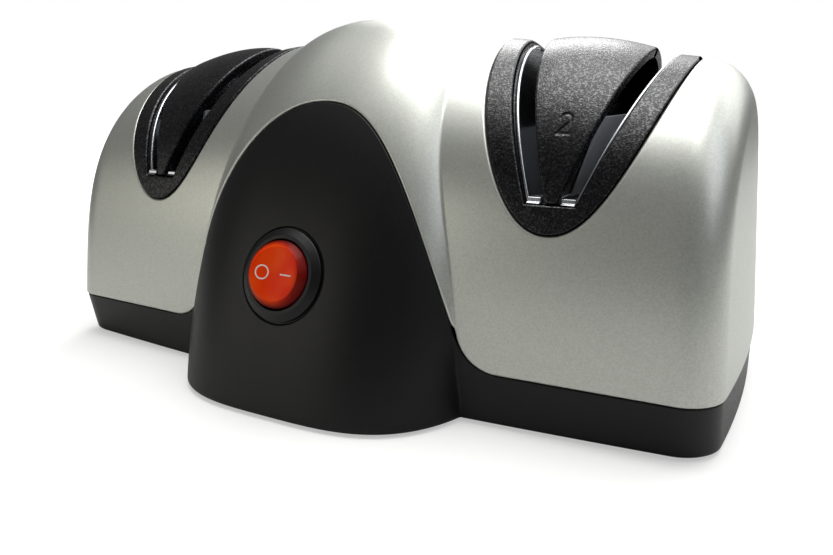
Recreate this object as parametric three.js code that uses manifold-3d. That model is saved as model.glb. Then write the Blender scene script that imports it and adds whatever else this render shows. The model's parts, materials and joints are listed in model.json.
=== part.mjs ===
// Electric knife sharpener with two slot stages, a central motor and a rocker switch.
// Millimetres, +Z up. X runs along the length, the switch faces -Y, the origin lies on the ground
// under the middle. Stage 1 is at -X and stage 2 at +X.

import * as THREE from 'three';
import { mergeVertices } from 'three/addons/utils/BufferGeometryUtils.js';
import Module from 'manifold-3d';

const wasm = await Module();
wasm.setup();

// Heights that the wheels set: they bite into the foot of each slot, and the slots set the crest
const shaftHeight = 38;
const wheelRadius = 25;
const wheelBite = 4;
const slotDepth = 46.4;
const slotBottomHeight = shaftHeight + wheelRadius - wheelBite;

// Overall form of the silver wings
const halfLength = 111.8;
const seamHeight = 15.2;
const crestHeight = slotBottomHeight + slotDepth;
const crestFallShare = 0.112;
const middleHalfDepth = 54.2;
const depthTaperShare = 0.042;
const frontDraftShare = 0.085;
const endDraftShare = 0.083;
const endBowRadius = 446;
const planCornerRadius = 9.5;
const topCornerRadius = 11.6;
const wallPower = 3.8;
const crownPower = 1.56;

// Central dome
const domeRise = 2.8;
const domeHeight = crestHeight + domeRise;
const domeHalfDepth = 76.4;
const domeHalfWidth = 51.3;
const domeDepthPower = 1.2;
const domeDepthRootPower = 0.423;
const domeWidthPower = 2.12;
const domeWidthRootPower = 0.364;
const domePlanPower = 3.42;
const domeRearGain = 0.1;

// Walls, gaps and the base
const wall = 2.5;
const gap = 0.3;
const overrun = 5;
const groundClearance = 0.7;
const floorThickness = 3;
const skirtTaper = 3.4;
const skirtEdgeRadius = 1.4;
const revealStep = 0.4;
const lipHeight = 2.5;
const lipThickness = 1.2;

// Arched panel that rises from the base into the dome, at the front and at the rear
const archHeight = 83.4;
const archHalfWidth = 46.6;
const archRisePower = 1.22;
const archWidthPower = 0.45;
const archFillet = 12;
const archLean = 0.243;
const archGap = 0.4;

// Slot stages
const stageOffset = 0.593 * halfLength;
const stageLip = 7.3;
const stageTipHeight = slotBottomHeight - stageLip;
const stageHalfWidth = 0.2415 * halfLength;
const stageWidthPower = 0.93;
const frameProud = 0.3;
const frameFlange = 3;
const frameFlangeThickness = 2;
const frameWebThickness = 1.8;
const slotInner = 1.3;
const slotOuter = 6.3;
const frameArm = 6.1;
const blockReachShare = 0.5285;
const blockCrown = 3.9;
const blockCrownFall = 0.7;
const blockSlopeShare = 0.5;
const blockShell = 2.6;
const blockWebThickness = 1.6;
const plateThickness = 0.4;
const plateGap = 0.15;
const plateRecess = 2;
const plateFoot = 5;
const plateFootWidth = 3.2;
const innerPlateThickness = 0.5;
const innerPlateRise = 20.5;
const innerPlateHalfDepth = 30;

// Shaft, wheels and their springs
const shaftRadius = 3;
const wheelThickness = 3;
const wheelHalfGap = 1.2;
const wheelRimTaper = 1.5;
const wheelTravel = 0.8;
const wheelClearance = 3;
const wheelBossRadius = 9;
const wheelBossLength = 5;
const springPocketRadius = 6;
const springPocketDepth = 5.3;
const springRadius = 4.9;
const springWire = 0.5;
const springTurns = 5;
const driveFlat = 2.3;
const ringThickness = 1;
const ringRadius = 5.5;
const ringGrooveDepth = 0.6;
const ringMouth = 3.2;

// End bearings of the shaft
const endBearingOffset = 0.823 * halfLength;
const endBearingRadius = 7;
const endBearingWidth = 6;
const pedestalHalfWidth = 11;
const capThickness = 3;
const capGrip = 8;
const shaftOverhang = 1;

// Motor
const motorRadius = 25;
const motorWall = 2;
const motorHalfLength = 0.233 * halfLength;
const bellPlate = 2.5;
const bellSpigot = 2.5;
const bellSpigotWall = 3;
const bellBossRadius = 9;
const bellBossLength = 0.08 * halfLength;
const motorBearingRadius = 6;
const motorBearingWidth = 5;
const magnetThickness = 2.6;
const magnetHalfLength = 0.17 * halfLength;
const magnetSpan = THREE.MathUtils.degToRad(130);
const rotorRadius = 19.5;
const rotorLeft = -0.161 * halfLength;
const rotorRight = 0.0716 * halfLength;
const rotorSlots = 7;
const rotorSlotWidth = 3;
const rotorSlotFloor = 11;
const coilRadius = 17;
const coilEnd = 3.5;
const commutatorRadius = 8;
const commutatorLeft = 0.117 * halfLength;
const commutatorRight = 0.206 * halfLength;
const brushSize = 4;
const brushLength = 10;
const brushTubeWall = 1.4;
const fanRadius = 20;
const fanWidth = 0.08 * halfLength;
const fanBlades = 7;
const fanHubRadius = 7;
const fanDisc = 1.5;
const fanBladeThickness = 1.2;

// Motor cradle and strap
const cradleOffset = 17;
const cradleThickness = 4;
const cradleHalfWidth = 27;
const cradleDrop = 9;
const strapWidth = 12;
const strapThickness = 1.6;
const strapPostOffset = 34;
const strapPostHeight = 22;
const postRadius = 4;
const postRib = 2;

// Screws
const screwRadius = 1.5;
const screwHeadRadius = 3;
const screwHeadHeight = 2;
const screwCrossWidth = 0.9;
const screwCrossSpan = 4;
const screwCrossDepth = 1;
const coverPostHeight = 42;
const coverScrewOffset = 0.877 * halfLength;
const coverScrewSpread = 32;
const coverScrewLength = 16;
const coverScrewSeat = 4.8;
const bossRadius = 5;
const strapScrewLength = 10;

// Switch in the front panel
const switchHeight = 38.1;
const switchSeatDepth = 0.6;
const bezelRadius = 12.7;
const bezelHeight = 1.9;
const switchBodyRadius = 10.5;
const switchBodyLength = 14;
const switchPocketRadius = 9.6;
const switchPocketDepth = 9.3;
const bezelSlope = 1.3;
const bezelRim = 10.7;
const seatMargin = 0.5;
const seatBossRadius = 15.5;
const seatBossThickness = 3.5;
const slopeStep = 1;
const rockerRadius = 9.1;
const rockerPivotDepth = 1;
const rockerShoulder = 5;
const rockerFaceRadius = 7.3;
const rockerFace = 5.2;
const rockerBack = 4.8;
const rockerDish = THREE.MathUtils.degToRad(11);
const rockerTilt = THREE.MathUtils.degToRad(5);
const rockerPinRadius = 1;
const rockerPinReach = 10;
const terminalWidth = 4.8;
const terminalThickness = 0.8;
const terminalLength = 9;
const terminalGrip = 3;
const terminalSpacing = 3.6;

// Gland for the mains lead in the rear panel
const glandHeight = 20;
const glandRadius = 6;
const glandFlangeRadius = 8;
const glandFlange = 1.6;
const glandBore = 3.2;
const glandProud = 3.3;
const glandLength = 11.5;

// Feet
const footRadius = 6;
const footRecess = 1.5;
const footOffset = 0.751 * halfLength;
const footSpread = 28;

// Openings in the base and its joint with the cover
const ventOffsets = [-52, -47, -42, -37, -32, 32, 37, 42, 47, 52];
const ventWidth = 2.4;
const ventHalfLength = 18;
const lipStart = 56;

const facets = 20;
const smallFacets = 12;

// Solids

function solidOf(geometry) {
  const bare = geometry.clone();
  bare.deleteAttribute('normal');
  bare.deleteAttribute('uv');
  const merged = mergeVertices(bare);
  const vertProperties = Float32Array.from(merged.attributes.position.array);
  const triVerts = Uint32Array.from(merged.index.array);
  return new wasm.Manifold(new wasm.Mesh({ numProp: 3, vertProperties, triVerts }));
}

function geometryOf(solid) {
  const mesh = solid.getMesh();
  const geometry = new THREE.BufferGeometry();
  geometry.setAttribute('position', new THREE.BufferAttribute(mesh.vertProperties, 3));
  geometry.setIndex(new THREE.BufferAttribute(mesh.triVerts, 1));
  geometry.computeVertexNormals();
  return geometry;
}

const join = (first, ...others) => others.reduce((sum, other) => sum.add(other), first);
const cut = (first, ...others) => others.reduce((rest, other) => rest.subtract(other), first);
const common = (first, ...others) => others.reduce((part, other) => part.intersect(other), first);

function placed(geometry, x, y, z) {
  return solidOf(geometry.clone().translate(x, y, z));
}

function box(lowX, highX, lowY, highY, lowZ, highZ) {
  const geometry = new THREE.BoxGeometry(highX - lowX, highY - lowY, highZ - lowZ);
  return placed(geometry, (lowX + highX) / 2, (lowY + highY) / 2, (lowZ + highZ) / 2);
}

function rodAlongX(radius, lowX, highX, y, z, sides = facets) {
  const geometry = new THREE.CylinderGeometry(radius, radius, highX - lowX, sides).rotateZ(Math.PI / 2);
  return placed(geometry, (lowX + highX) / 2, y, z);
}

function rodAlongY(radius, lowY, highY, x, z, sides = facets) {
  const geometry = new THREE.CylinderGeometry(radius, radius, highY - lowY, sides);
  return placed(geometry, x, (lowY + highY) / 2, z);
}

function rodAlongZ(radius, lowZ, highZ, x, y, sides = facets) {
  const geometry = new THREE.CylinderGeometry(radius, radius, highZ - lowZ, sides).rotateX(Math.PI / 2);
  return placed(geometry, x, y, (lowZ + highZ) / 2);
}

function coneAlongZ(lowRadius, highRadius, lowZ, highZ) {
  const geometry = new THREE.CylinderGeometry(highRadius, lowRadius, highZ - lowZ, facets).rotateX(Math.PI / 2);
  return placed(geometry, 0, 0, (lowZ + highZ) / 2);
}

// An outline of [x, z] points carried along Y
function prismAlongY(outline, lowY, highY) {
  const shape = new THREE.Shape(outline.map(([x, z]) => new THREE.Vector2(x, z)));
  const options = { depth: highY - lowY, bevelEnabled: false, steps: 1 };
  const geometry = new THREE.ExtrudeGeometry(shape, options).rotateX(Math.PI / 2);
  return solidOf(geometry.translate(0, highY, 0));
}

// Rings of equally many points, joined to one closed skin with flat ends
function closedLoft(rings) {
  const count = rings[0].length;
  const last = (rings.length - 1) * count;
  const points = rings.flat();
  let faces = [];
  for (let start = 0; start < last; start += count) {
    for (let i = 0; i < count; i++) {
      const here = start + i;
      const next = start + (i + 1) % count;
      faces.push([here, next, here + count], [next, next + count, here + count]);
    }
  }
  for (let i = 1; i + 1 < count; i++) {
    faces.push([0, i + 1, i], [last, last + i, last + i + 1]);
  }
  const volume = faces.reduce((sum, [a, b, c]) =>
    sum + points[a].dot(points[b].clone().cross(points[c])), 0);
  if (volume < 0) faces = faces.map(([a, b, c]) => [a, c, b]);
  const geometry = new THREE.BufferGeometry().setFromPoints(points);
  geometry.setIndex(faces.flat());
  return solidOf(geometry);
}

// Outer form

// How far a quarter round draws a line in, once it is past the round's start
function roundPull(past, radius) {
  if (past <= 0) return 0;
  return radius - Math.sqrt(Math.max(0, radius * radius - past * past));
}

function crestAt(station) {
  return crestHeight - crestFallShare * Math.abs(station);
}

function halfDepthAt(station) {
  return middleHalfDepth - depthTaperShare * Math.abs(station);
}

// Half depth of a wing at a height above the seam
function wingFrontAt(station, height, inset = 0) {
  const rise = height - seamHeight;
  const share = Math.min(1, rise / (crestAt(station) - inset - seamHeight));
  const side = halfDepthAt(station) - inset - frontDraftShare * rise;
  return side * Math.pow(1 - Math.pow(share, wallPower), 1 / crownPower);
}

// How far the lower edge of the base is rounded in at a height
const edgePull = (height) => roundPull(groundClearance + skirtEdgeRadius - height, skirtEdgeRadius);

// How far the long sides of the base's skirt are drawn in below the seam: more towards the ends
function skirtPull(station, height) {
  const drop = (seamHeight - height) / (seamHeight - groundClearance);
  return skirtTaper * drop * Math.pow(station / halfLength, 2) + edgePull(height);
}

// The ends lean in towards the top and bow out in plan, and the whole length follows evenly
function drawnIn(station, pull, y) {
  return station * (1 - (pull + y * y / (2 * endBowRadius)) / halfLength);
}

const archAngles = Array.from({ length: 15 }, (_, i) => i * Math.PI / 14);

// Section of a wing at one station: skirt, then the arch from the front foot to the rear foot
function wingRing(station, inset, lowHeights) {
  const corner = planCornerRadius - inset;
  const top = topCornerRadius - inset;
  const reach = halfLength - inset;
  const past = Math.abs(station) - reach;
  const half = halfDepthAt(station) - inset - roundPull(past + corner, corner);
  const crest = crestAt(station) - inset - roundPull(past + top, top);
  const skirt = lowHeights.map((height) => {
    const pull = skirtPull(station, Math.min(height, seamHeight));
    return [drawnIn(station, edgePull(height), half - pull), half - pull, height];
  });
  const arch = archAngles.map((angle) => {
    const rise = (crest - seamHeight) * Math.pow(Math.sin(angle), 2 / wallPower);
    const bow = Math.pow(Math.abs(Math.cos(angle)), 2 / crownPower);
    const y = -Math.sign(Math.cos(angle)) * (half - frontDraftShare * rise) * bow;
    return new THREE.Vector3(drawnIn(station, endDraftShare * rise, y), y, seamHeight + rise);
  });
  const front = skirt.map(([x, y, z]) => new THREE.Vector3(x, -y, z));
  const rear = skirt.map(([x, y, z]) => new THREE.Vector3(x, y, z)).reverse();
  return [...front, ...arch, ...rear];
}

const straightStationShares = [0, 0.45, 0.75, 1];
const cornerSteps = 3;
const endFaceShares = [0.6, 0.05];

// Rings that close an end face over its bow, ever smaller about the middle of the face
function endFaceRings(station, ring) {
  const middle = (Math.min(...ring.map((point) => point.z)) + Math.max(...ring.map((point) => point.z))) / 2;
  return endFaceShares.map((share) => ring.map((point) => {
    const y = point.y * share;
    const z = middle + (point.z - middle) * share;
    const pull = z < seamHeight ? edgePull(z) : endDraftShare * (z - seamHeight);
    return new THREE.Vector3(drawnIn(station, pull, y), y, z);
  }));
}

function wingForm(inset, lowHeights = []) {
  const start = halfLength - topCornerRadius;
  const stations = straightStationShares.map((share) => share * start);
  for (let step = 1; step <= cornerSteps; step++) {
    stations.push(start + (topCornerRadius - inset) * Math.sin(step / cornerSteps * Math.PI / 2));
  }
  const right = stations.map((station) => wingRing(station, inset, lowHeights));
  right.push(...endFaceRings(stations[stations.length - 1], right[right.length - 1]));
  const left = right.slice(1).reverse().map((ring) => ring.map((point) => point.clone().setX(-point.x)));
  return closedLoft([...left, ...right]);
}

function domeDepthAt(height, inset = 0) {
  const share = Math.min(1, height / (domeHeight - inset));
  return (domeHalfDepth - inset) * Math.pow(1 - Math.pow(share, domeDepthPower), domeDepthRootPower);
}

function domeWidthAt(height, inset = 0) {
  const share = Math.min(1, height / (domeHeight - inset));
  return (domeHalfWidth - inset) * Math.pow(1 - Math.pow(share, domeWidthPower), domeWidthRootPower);
}

// How much deeper the dome is at the rear than at the front
const rearGain = (height) => 1 + domeRearGain * Math.pow(height / domeHeight, 2);

// Coordinate of the dome's squarish plan for a sine or cosine
const domeBow = (share) => Math.sign(share) * Math.pow(Math.abs(share), 2 / domePlanPower);

const domeSteps = 8;
const domeFacets = 32;
const domeTopShare = 0.95;

function domeForm(inset, lowHeights = []) {
  const top = domeHeight - inset;
  const heights = [...lowHeights];
  for (let step = 0; step <= domeSteps; step++) {
    const share = Math.sin(domeTopShare * step / domeSteps * Math.PI / 2);
    heights.push(seamHeight + (top - seamHeight) * share);
  }
  return closedLoft(heights.map((height) => {
    const edge = edgePull(height);
    return Array.from({ length: domeFacets }, (_, i) => {
      const angle = i / domeFacets * 2 * Math.PI;
      const gain = Math.sin(angle) > 0 ? rearGain(height) : 1;
      const x = (domeWidthAt(height, inset) - edge) * domeBow(Math.cos(angle));
      const y = (domeDepthAt(height, inset) * gain - edge) * domeBow(Math.sin(angle));
      return new THREE.Vector3(x, y, height);
    });
  }));
}

const bodyForm = (inset, lowHeights) => join(wingForm(inset, lowHeights), domeForm(inset, lowHeights));

// Outlines in the front view

const archSteps = 9;

// The arch of the panel, drawn in by an inset. Its fillets run out along the seam, from the lean
// in radians that the sides have there.
function archOutline(inset) {
  const half = archHalfWidth - inset;
  const top = archHeight - inset;
  const fillet = archFillet + inset;
  const start = seamHeight + fillet * (1 - Math.sin(archLean));
  const points = [];
  for (let step = 0; step <= archSteps; step++) {
    const share = Math.sin(step / archSteps * Math.PI / 2);
    const height = start + (top - start) * share;
    const rise = (height - seamHeight) / (top - seamHeight);
    const narrowing = Math.max(0, 1 - Math.pow(rise, archRisePower));
    points.push([half * Math.pow(narrowing, archWidthPower), height]);
  }
  const centre = points[0][0] + fillet * Math.cos(archLean);
  for (let step = 1; step <= 4; step++) {
    const angle = archLean + step / 4 * (Math.PI / 2 - archLean);
    points.unshift([centre - fillet * Math.cos(angle), seamHeight + fillet * (1 - Math.sin(angle))]);
  }
  points.unshift([centre, seamHeight - overrun]);
  const left = points.slice(0, -1).reverse().map(([x, z]) => [-x, z]);
  return [...points, ...left];
}

// A height above everything, to which upward cuts run
const above = domeHeight + overrun;

// The two walls of a slot lean outward so that the frame keeps its arms and the block its share
const stageRise = crestAt(stageOffset) - slotBottomHeight;
const outerLean = Math.atan2(stageHalfWidth - frameArm - slotOuter, stageRise);
const innerLean = Math.atan2(blockReachShare * stageHalfWidth - slotInner, stageRise);

const stageSteps = 7;

// U-shaped outline of a stage's opening, widened by a growth
function stageOutline(side, growth) {
  const tip = stageTipHeight - growth;
  const top = crestAt(stageOffset);
  const points = [];
  for (let step = -stageSteps; step <= stageSteps; step++) {
    const share = step / stageSteps;
    const out = Math.sign(share) * (stageHalfWidth + growth) * Math.pow(Math.abs(share), stageWidthPower);
    points.push([side * (stageOffset + out), tip + (top - tip) * share * share]);
  }
  const reach = side * (stageHalfWidth + growth);
  return [[side * stageOffset - reach, above], ...points, [side * stageOffset + reach, above]];
}

// Distance from the stage's middle at which a leaning line stands at a height
const leaning = (offset, lean, height) => offset + (height - slotBottomHeight) * Math.tan(lean);

// Wedge between two lines that lean outward, from a low height to a high one
function wedgeOutline(side, offset, lean, low, high) {
  const middle = side * stageOffset;
  return [
    [middle - leaning(offset, lean, low), low],
    [middle + leaning(offset, lean, low), low],
    [middle + leaning(offset, lean, high), high],
    [middle - leaning(offset, lean, high), high],
  ];
}

// Sheet along a wall of a slot: hand is -1 for the left slot of a stage and 1 for the right
function sheetOutline(side, hand, from, to, lean, low, high) {
  const middle = side * stageOffset;
  return [
    [middle + hand * leaning(from, lean, low), low],
    [middle + hand * leaning(to, lean, low), low],
    [middle + hand * leaning(to, lean, high), high],
    [middle + hand * leaning(from, lean, high), high],
  ];
}

const throughDepth = domeHalfDepth + overrun;
const through = (outline) => prismAlongY(outline, -throughDepth, throughDepth);
const frontOnly = (outline) => prismAlongY(outline, -throughDepth, -overrun);
const rearOnly = (outline) => prismAlongY(outline, overrun, throughDepth);

const wheelWellHeight = shaftHeight + wheelRadius + wheelClearance;

function wheelWell(side) {
  const reach = stageHalfWidth + frameFlange;
  const middle = side * stageOffset;
  return rodAlongX(wheelRadius + wheelClearance, middle - reach, middle + reach, 0, shaftHeight);
}

// Materials

function finish(colour, roughness, metalness) {
  return () => new THREE.MeshStandardMaterial({ color: colour, roughness, metalness });
}

const silverPaint = finish(0xb9bab8, 0.35, 0.6);
const blackPlastic = finish(0x17181b, 0.5, 0);
const blackTexture = finish(0x1c1c1f, 0.6, 0);
const brightSteel = finish(0xc9ccd0, 0.25, 1);
const greySteel = finish(0x8d9096, 0.4, 1);
const abrasive = finish(0x8b5a3c, 0.9, 0);
const ironCore = finish(0x6b6d70, 0.5, 0.9);
const copper = finish(0xb4703c, 0.35, 1);
const carbon = finish(0x222222, 0.8, 0);
const ceramicMagnet = finish(0x33343a, 0.7, 0.1);
const brass = finish(0xc2a15a, 0.3, 1);
const rubber = finish(0x1a1a1a, 0.9, 0);
const redLens = finish(0xd8360c, 0.3, 0);
const whitePlastic = finish(0xd9d9d3, 0.5, 0);

const sharpener = new THREE.Group();

function addPart(name, shape, material, parent = sharpener) {
  const geometry = shape.isBufferGeometry ? shape : geometryOf(shape);
  const mesh = new THREE.Mesh(geometry, material());
  mesh.name = name;
  parent.add(mesh);
  return mesh;
}

// Places under the four corners, for the cover's screws and for the feet

function cornerPlaces(offset, spread) {
  const places = [];
  for (const side of [-1, 1]) {
    for (const face of [-1, 1]) {
      places.push({ x: side * offset, y: face * spread, side, face });
    }
  }
  return places;
}

const placeName = ({ side, face }) => `${face < 0 ? 'front' : 'rear'}_${side < 0 ? 'left' : 'right'}`;
const coverScrews = cornerPlaces(coverScrewOffset, coverScrewSpread);
const feet = cornerPlaces(footOffset, footSpread);

const bottomHeights = [0, 0.1, 0.4, 1].map((share) => groundClearance + share * skirtEdgeRadius);
const floorTop = groundClearance + floorThickness;
const floorMiddle = groundClearance + floorThickness / 2;
const seamBottom = seamHeight - gap;

// Cover

function postRibSpace({ x, y, face }, growth) {
  const ends = [y, face * middleHalfDepth];
  const half = postRib / 2 + growth;
  return box(x - half, x + half, Math.min(...ends), Math.max(...ends), seamHeight, coverPostHeight);
}

function coverPost(place) {
  const post = rodAlongZ(postRadius, seamHeight, coverPostHeight, place.x, place.y, smallFacets);
  return common(join(post, postRibSpace(place, 0)), wingForm(wall / 2));
}

function coverHole({ x, y }) {
  const depth = seamHeight + coverScrewLength;
  return rodAlongZ(screwRadius + gap, seamHeight - overrun, depth, x, y, smallFacets);
}

function topCover() {
  const shell = cut(bodyForm(0), bodyForm(wall, [seamHeight - overrun]));
  const openings = [frontOnly(archOutline(0)), rearOnly(archOutline(0))];
  const stages = [-1, 1].map((side) => through(stageOutline(side, 0)));
  const posts = coverScrews.map(coverPost);
  return cut(join(cut(shell, ...openings, ...stages), ...posts), ...coverScrews.map(coverHole));
}

addPart('top_cover', topCover(), silverPaint);

// Slot stages

const frameBackInset = wall + gap + frameFlangeThickness;

function guideFrame(side) {
  const back = wingForm(frameBackInset, [seamHeight - overrun]);
  const face = common(cut(wingForm(-frameProud), back), through(stageOutline(side, -gap)));
  const flangeForm = cut(wingForm(wall + gap, [seamHeight - overrun]), back);
  const flange = common(flangeForm, through(stageOutline(side, frameFlange)));
  const channel = through(wedgeOutline(side, slotOuter, outerLean, slotBottomHeight, above));
  const inside = wingForm(wall / 2);
  const webs = [-1, 1].map((hand) => {
    const outer = slotOuter + frameWebThickness;
    const web = through(sheetOutline(side, hand, slotOuter, outer, outerLean, slotBottomHeight, above));
    return common(web, inside);
  });
  return cut(join(face, flange, ...webs), channel, wheelWell(side));
}

const blockSteps = 5;

// Skin of the block: the wing's own section, swollen towards the middle and the top, with a
// crest that falls along X by only a share of the wing's fall
function blockForm(side) {
  const reach = leaning(slotInner, innerLean, above);
  const rings = [];
  for (let step = -blockSteps; step <= blockSteps; step++) {
    const out = step / blockSteps * reach;
    const station = side * stageOffset + blockSlopeShare * out;
    const aside = new THREE.Vector3(out - blockSlopeShare * out, 0, 0);
    const share = out / leaning(slotInner, innerLean, crestHeight);
    const crown = blockCrown * Math.max(0, 1 - blockCrownFall * share * share);
    rings.push(wingRing(station, 0, []).map((point) => {
      const rise = Math.max(0, point.z - slotBottomHeight) / (crestHeight - slotBottomHeight);
      const away = new THREE.Vector3(0, point.y, point.z - slotBottomHeight).normalize();
      return point.clone().add(aside).addScaledVector(away, crown * rise * rise);
    }));
  }
  return closedLoft(rings);
}

const innerPlateOuter = slotInner - gap;
const innerPlateInner = innerPlateOuter - innerPlateThickness;
const blockWebOuter = innerPlateInner - gap;

function guideBlock(side) {
  const legBottom = slotBottomHeight + gap;
  const wedge = through(wedgeOutline(side, slotInner, innerLean, legBottom, above));
  const shell = cut(common(blockForm(side), wedge), wingForm(blockShell, [seamHeight - overrun]));
  const inside = wingForm(blockShell / 2);
  const webs = [-1, 1].map((hand) => {
    const inner = blockWebOuter - blockWebThickness;
    const web = sheetOutline(side, hand, inner, blockWebOuter, innerLean, wheelWellHeight, above);
    return common(through(web), inside);
  });
  return cut(join(shell, ...webs), wheelWell(side));
}

// Steel plate on the outer wall of a slot, with a foot over the slot's floor at the front and rear
function outerPlate(side, hand) {
  const outer = slotOuter - plateGap;
  const inner = outer - plateThickness;
  const low = slotBottomHeight + gap;
  const sheet = through(sheetOutline(side, hand, inner, outer, outerLean, low, above));
  const plate = cut(common(sheet, wingForm(plateRecess)), wheelWell(side));
  const far = side * stageOffset + hand * leaning(outer, outerLean, low);
  const edges = [far, far - hand * plateFootWidth];
  const front = wingFrontAt(stageOffset, slotBottomHeight, plateRecess) - plateThickness;
  const feetOfPlate = [-1, 1].map((face) => {
    const ends = [face * front, face * (front - plateFoot)];
    return box(Math.min(...edges), Math.max(...edges), Math.min(...ends), Math.max(...ends),
      low, low + plateThickness);
  });
  return join(plate, ...feetOfPlate);
}

function innerPlate(side, hand) {
  const low = slotBottomHeight + gap;
  const [from, to] = [innerPlateInner, innerPlateOuter];
  const outline = sheetOutline(side, hand, from, to, innerLean, low, slotBottomHeight + innerPlateRise);
  const sheet = prismAlongY(outline, -innerPlateHalfDepth, innerPlateHalfDepth);
  return cut(common(sheet, wingForm(blockShell + gap)), wheelWell(side));
}

const stages = [{ side: -1, number: 1 }, { side: 1, number: 2 }];
const hands = [{ hand: -1, word: 'left' }, { hand: 1, word: 'right' }];

for (const { side, number } of stages) {
  addPart(`guide_frame_${number}`, guideFrame(side), blackTexture);
  addPart(`guide_block_${number}`, guideBlock(side), blackTexture);
  for (const { hand, word } of hands) {
    addPart(`outer_plate_${number}_${word}`, outerPlate(side, hand), brightSteel);
    addPart(`inner_plate_${number}_${word}`, innerPlate(side, hand), greySteel);
  }
}

// Base housing

function skin() {
  const shell = cut(bodyForm(revealStep, bottomHeights), bodyForm(revealStep + wall, [floorTop]));
  const below = box(-halfLength, halfLength, -throughDepth, throughDepth, 0, seamBottom);
  const panels = [frontOnly(archOutline(archGap)), rearOnly(archOutline(archGap))];
  return common(shell, join(below, ...panels));
}

// Upstand inside the seam, which the cover's wall slides over
function lip() {
  const start = seamHeight - overrun;
  const outer = wall + gap;
  const ring = cut(bodyForm(outer, [start]), bodyForm(outer + lipThickness, [start]));
  const ends = [-1, 1].map((side) => {
    const reach = [side * lipStart, side * halfLength];
    return box(Math.min(...reach), Math.max(...reach), -throughDepth, throughDepth,
      seamBottom - lipHeight, seamHeight + lipHeight);
  });
  return cut(common(ring, join(...ends)), ...coverScrews.map((place) => postRibSpace(place, gap)));
}

function cradle() {
  const ribs = [-1, 1].map((side) => {
    const middle = side * cradleOffset;
    return box(middle - cradleThickness / 2, middle + cradleThickness / 2,
      -cradleHalfWidth, cradleHalfWidth, floorMiddle, shaftHeight - cradleDrop);
  });
  const space = rodAlongX(motorRadius + gap, -motorHalfLength, motorHalfLength, 0, shaftHeight);
  return cut(join(...ribs), space);
}

const strapPlaces = [-1, 1].map((face) => ({ face, x: 0, y: face * strapPostOffset }));

function strapPost({ x, y }) {
  const post = rodAlongZ(postRadius, floorMiddle, strapPostHeight, x, y, smallFacets);
  const low = strapPostHeight - strapScrewLength;
  return cut(post, rodAlongZ(screwRadius + gap, low, strapPostHeight + overrun, x, y, smallFacets));
}

const endBearingHalf = endBearingWidth / 2;

function endBearingSpace(side) {
  const middle = side * endBearingOffset;
  const reach = endBearingHalf + overrun;
  return rodAlongX(endBearingRadius + gap, middle - reach, middle + reach, 0, shaftHeight);
}

function pedestal(side) {
  const middle = side * endBearingOffset;
  const block = box(middle - endBearingHalf, middle + endBearingHalf,
    -pedestalHalfWidth, pedestalHalfWidth, floorMiddle, shaftHeight);
  return cut(block, endBearingSpace(side));
}

function screwBoss({ x, y }) {
  return rodAlongZ(bossRadius, floorMiddle, seamBottom, x, y, smallFacets);
}

function screwBossHole({ x, y }) {
  const head = rodAlongZ(screwHeadRadius + gap, -overrun, coverScrewSeat, x, y, smallFacets);
  const shank = rodAlongZ(screwRadius + gap, 0, seamHeight + overrun, x, y, smallFacets);
  return join(head, shank);
}

function footSpace({ x, y }) {
  return rodAlongZ(footRadius + gap, 0, groundClearance + footRecess, x, y);
}

function vent(offset) {
  const half = ventWidth / 2;
  return box(offset - half, offset + half, -ventHalfLength, ventHalfLength, 0, floorTop + overrun);
}

// Seat of the switch: its own frame has Z out of the panel and Y up the panel

const slopeRise = domeDepthAt(switchHeight - slopeStep) - domeDepthAt(switchHeight + slopeStep);
const switchLean = Math.atan2(slopeRise, 2 * slopeStep);
const seatY = switchSeatDepth * Math.cos(switchLean) - domeDepthAt(switchHeight, revealStep);
const seatZ = switchHeight - switchSeatDepth * Math.sin(switchLean);
const seatFrame = new THREE.Matrix4().makeTranslation(0, seatY, seatZ);
seatFrame.multiply(new THREE.Matrix4().makeRotationX(Math.PI / 2 - switchLean));

const atSeat = (shape) => solidOf(geometryOf(shape).applyMatrix4(seatFrame));

function seatBoss() {
  const boss = rodAlongZ(seatBossRadius, -seatBossThickness, switchSeatDepth, 0, 0);
  return common(atSeat(boss), domeForm(revealStep));
}

function seatSpace() {
  const recess = rodAlongZ(bezelRadius + seatMargin, 0, overrun, 0, 0);
  const hole = rodAlongZ(switchBodyRadius + gap, -overrun - wall, overrun, 0, 0);
  return atSeat(join(recess, hole));
}

const glandOuter = domeDepthAt(glandHeight) * rearGain(glandHeight) + glandProud;
const glandInner = glandOuter - glandLength;
const glandHole = () => rodAlongY(glandRadius + gap, glandInner, throughDepth, 0, glandHeight);

function baseHousing() {
  const posts = [...strapPlaces.map(strapPost), pedestal(-1), pedestal(1), ...coverScrews.map(screwBoss)];
  const solid = join(skin(), lip(), cradle(), seatBoss(), ...posts);
  const holes = [...coverScrews.map(screwBossHole), ...feet.map(footSpace), ...ventOffsets.map(vent)];
  return cut(solid, ...holes, seatSpace(), glandHole());
}

addPart('base_housing', baseHousing(), blackPlastic);

for (const place of feet) {
  const top = groundClearance + footRecess - gap;
  addPart(`foot_${placeName(place)}`, rodAlongZ(footRadius, 0, top, place.x, place.y), rubber);
}

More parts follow.
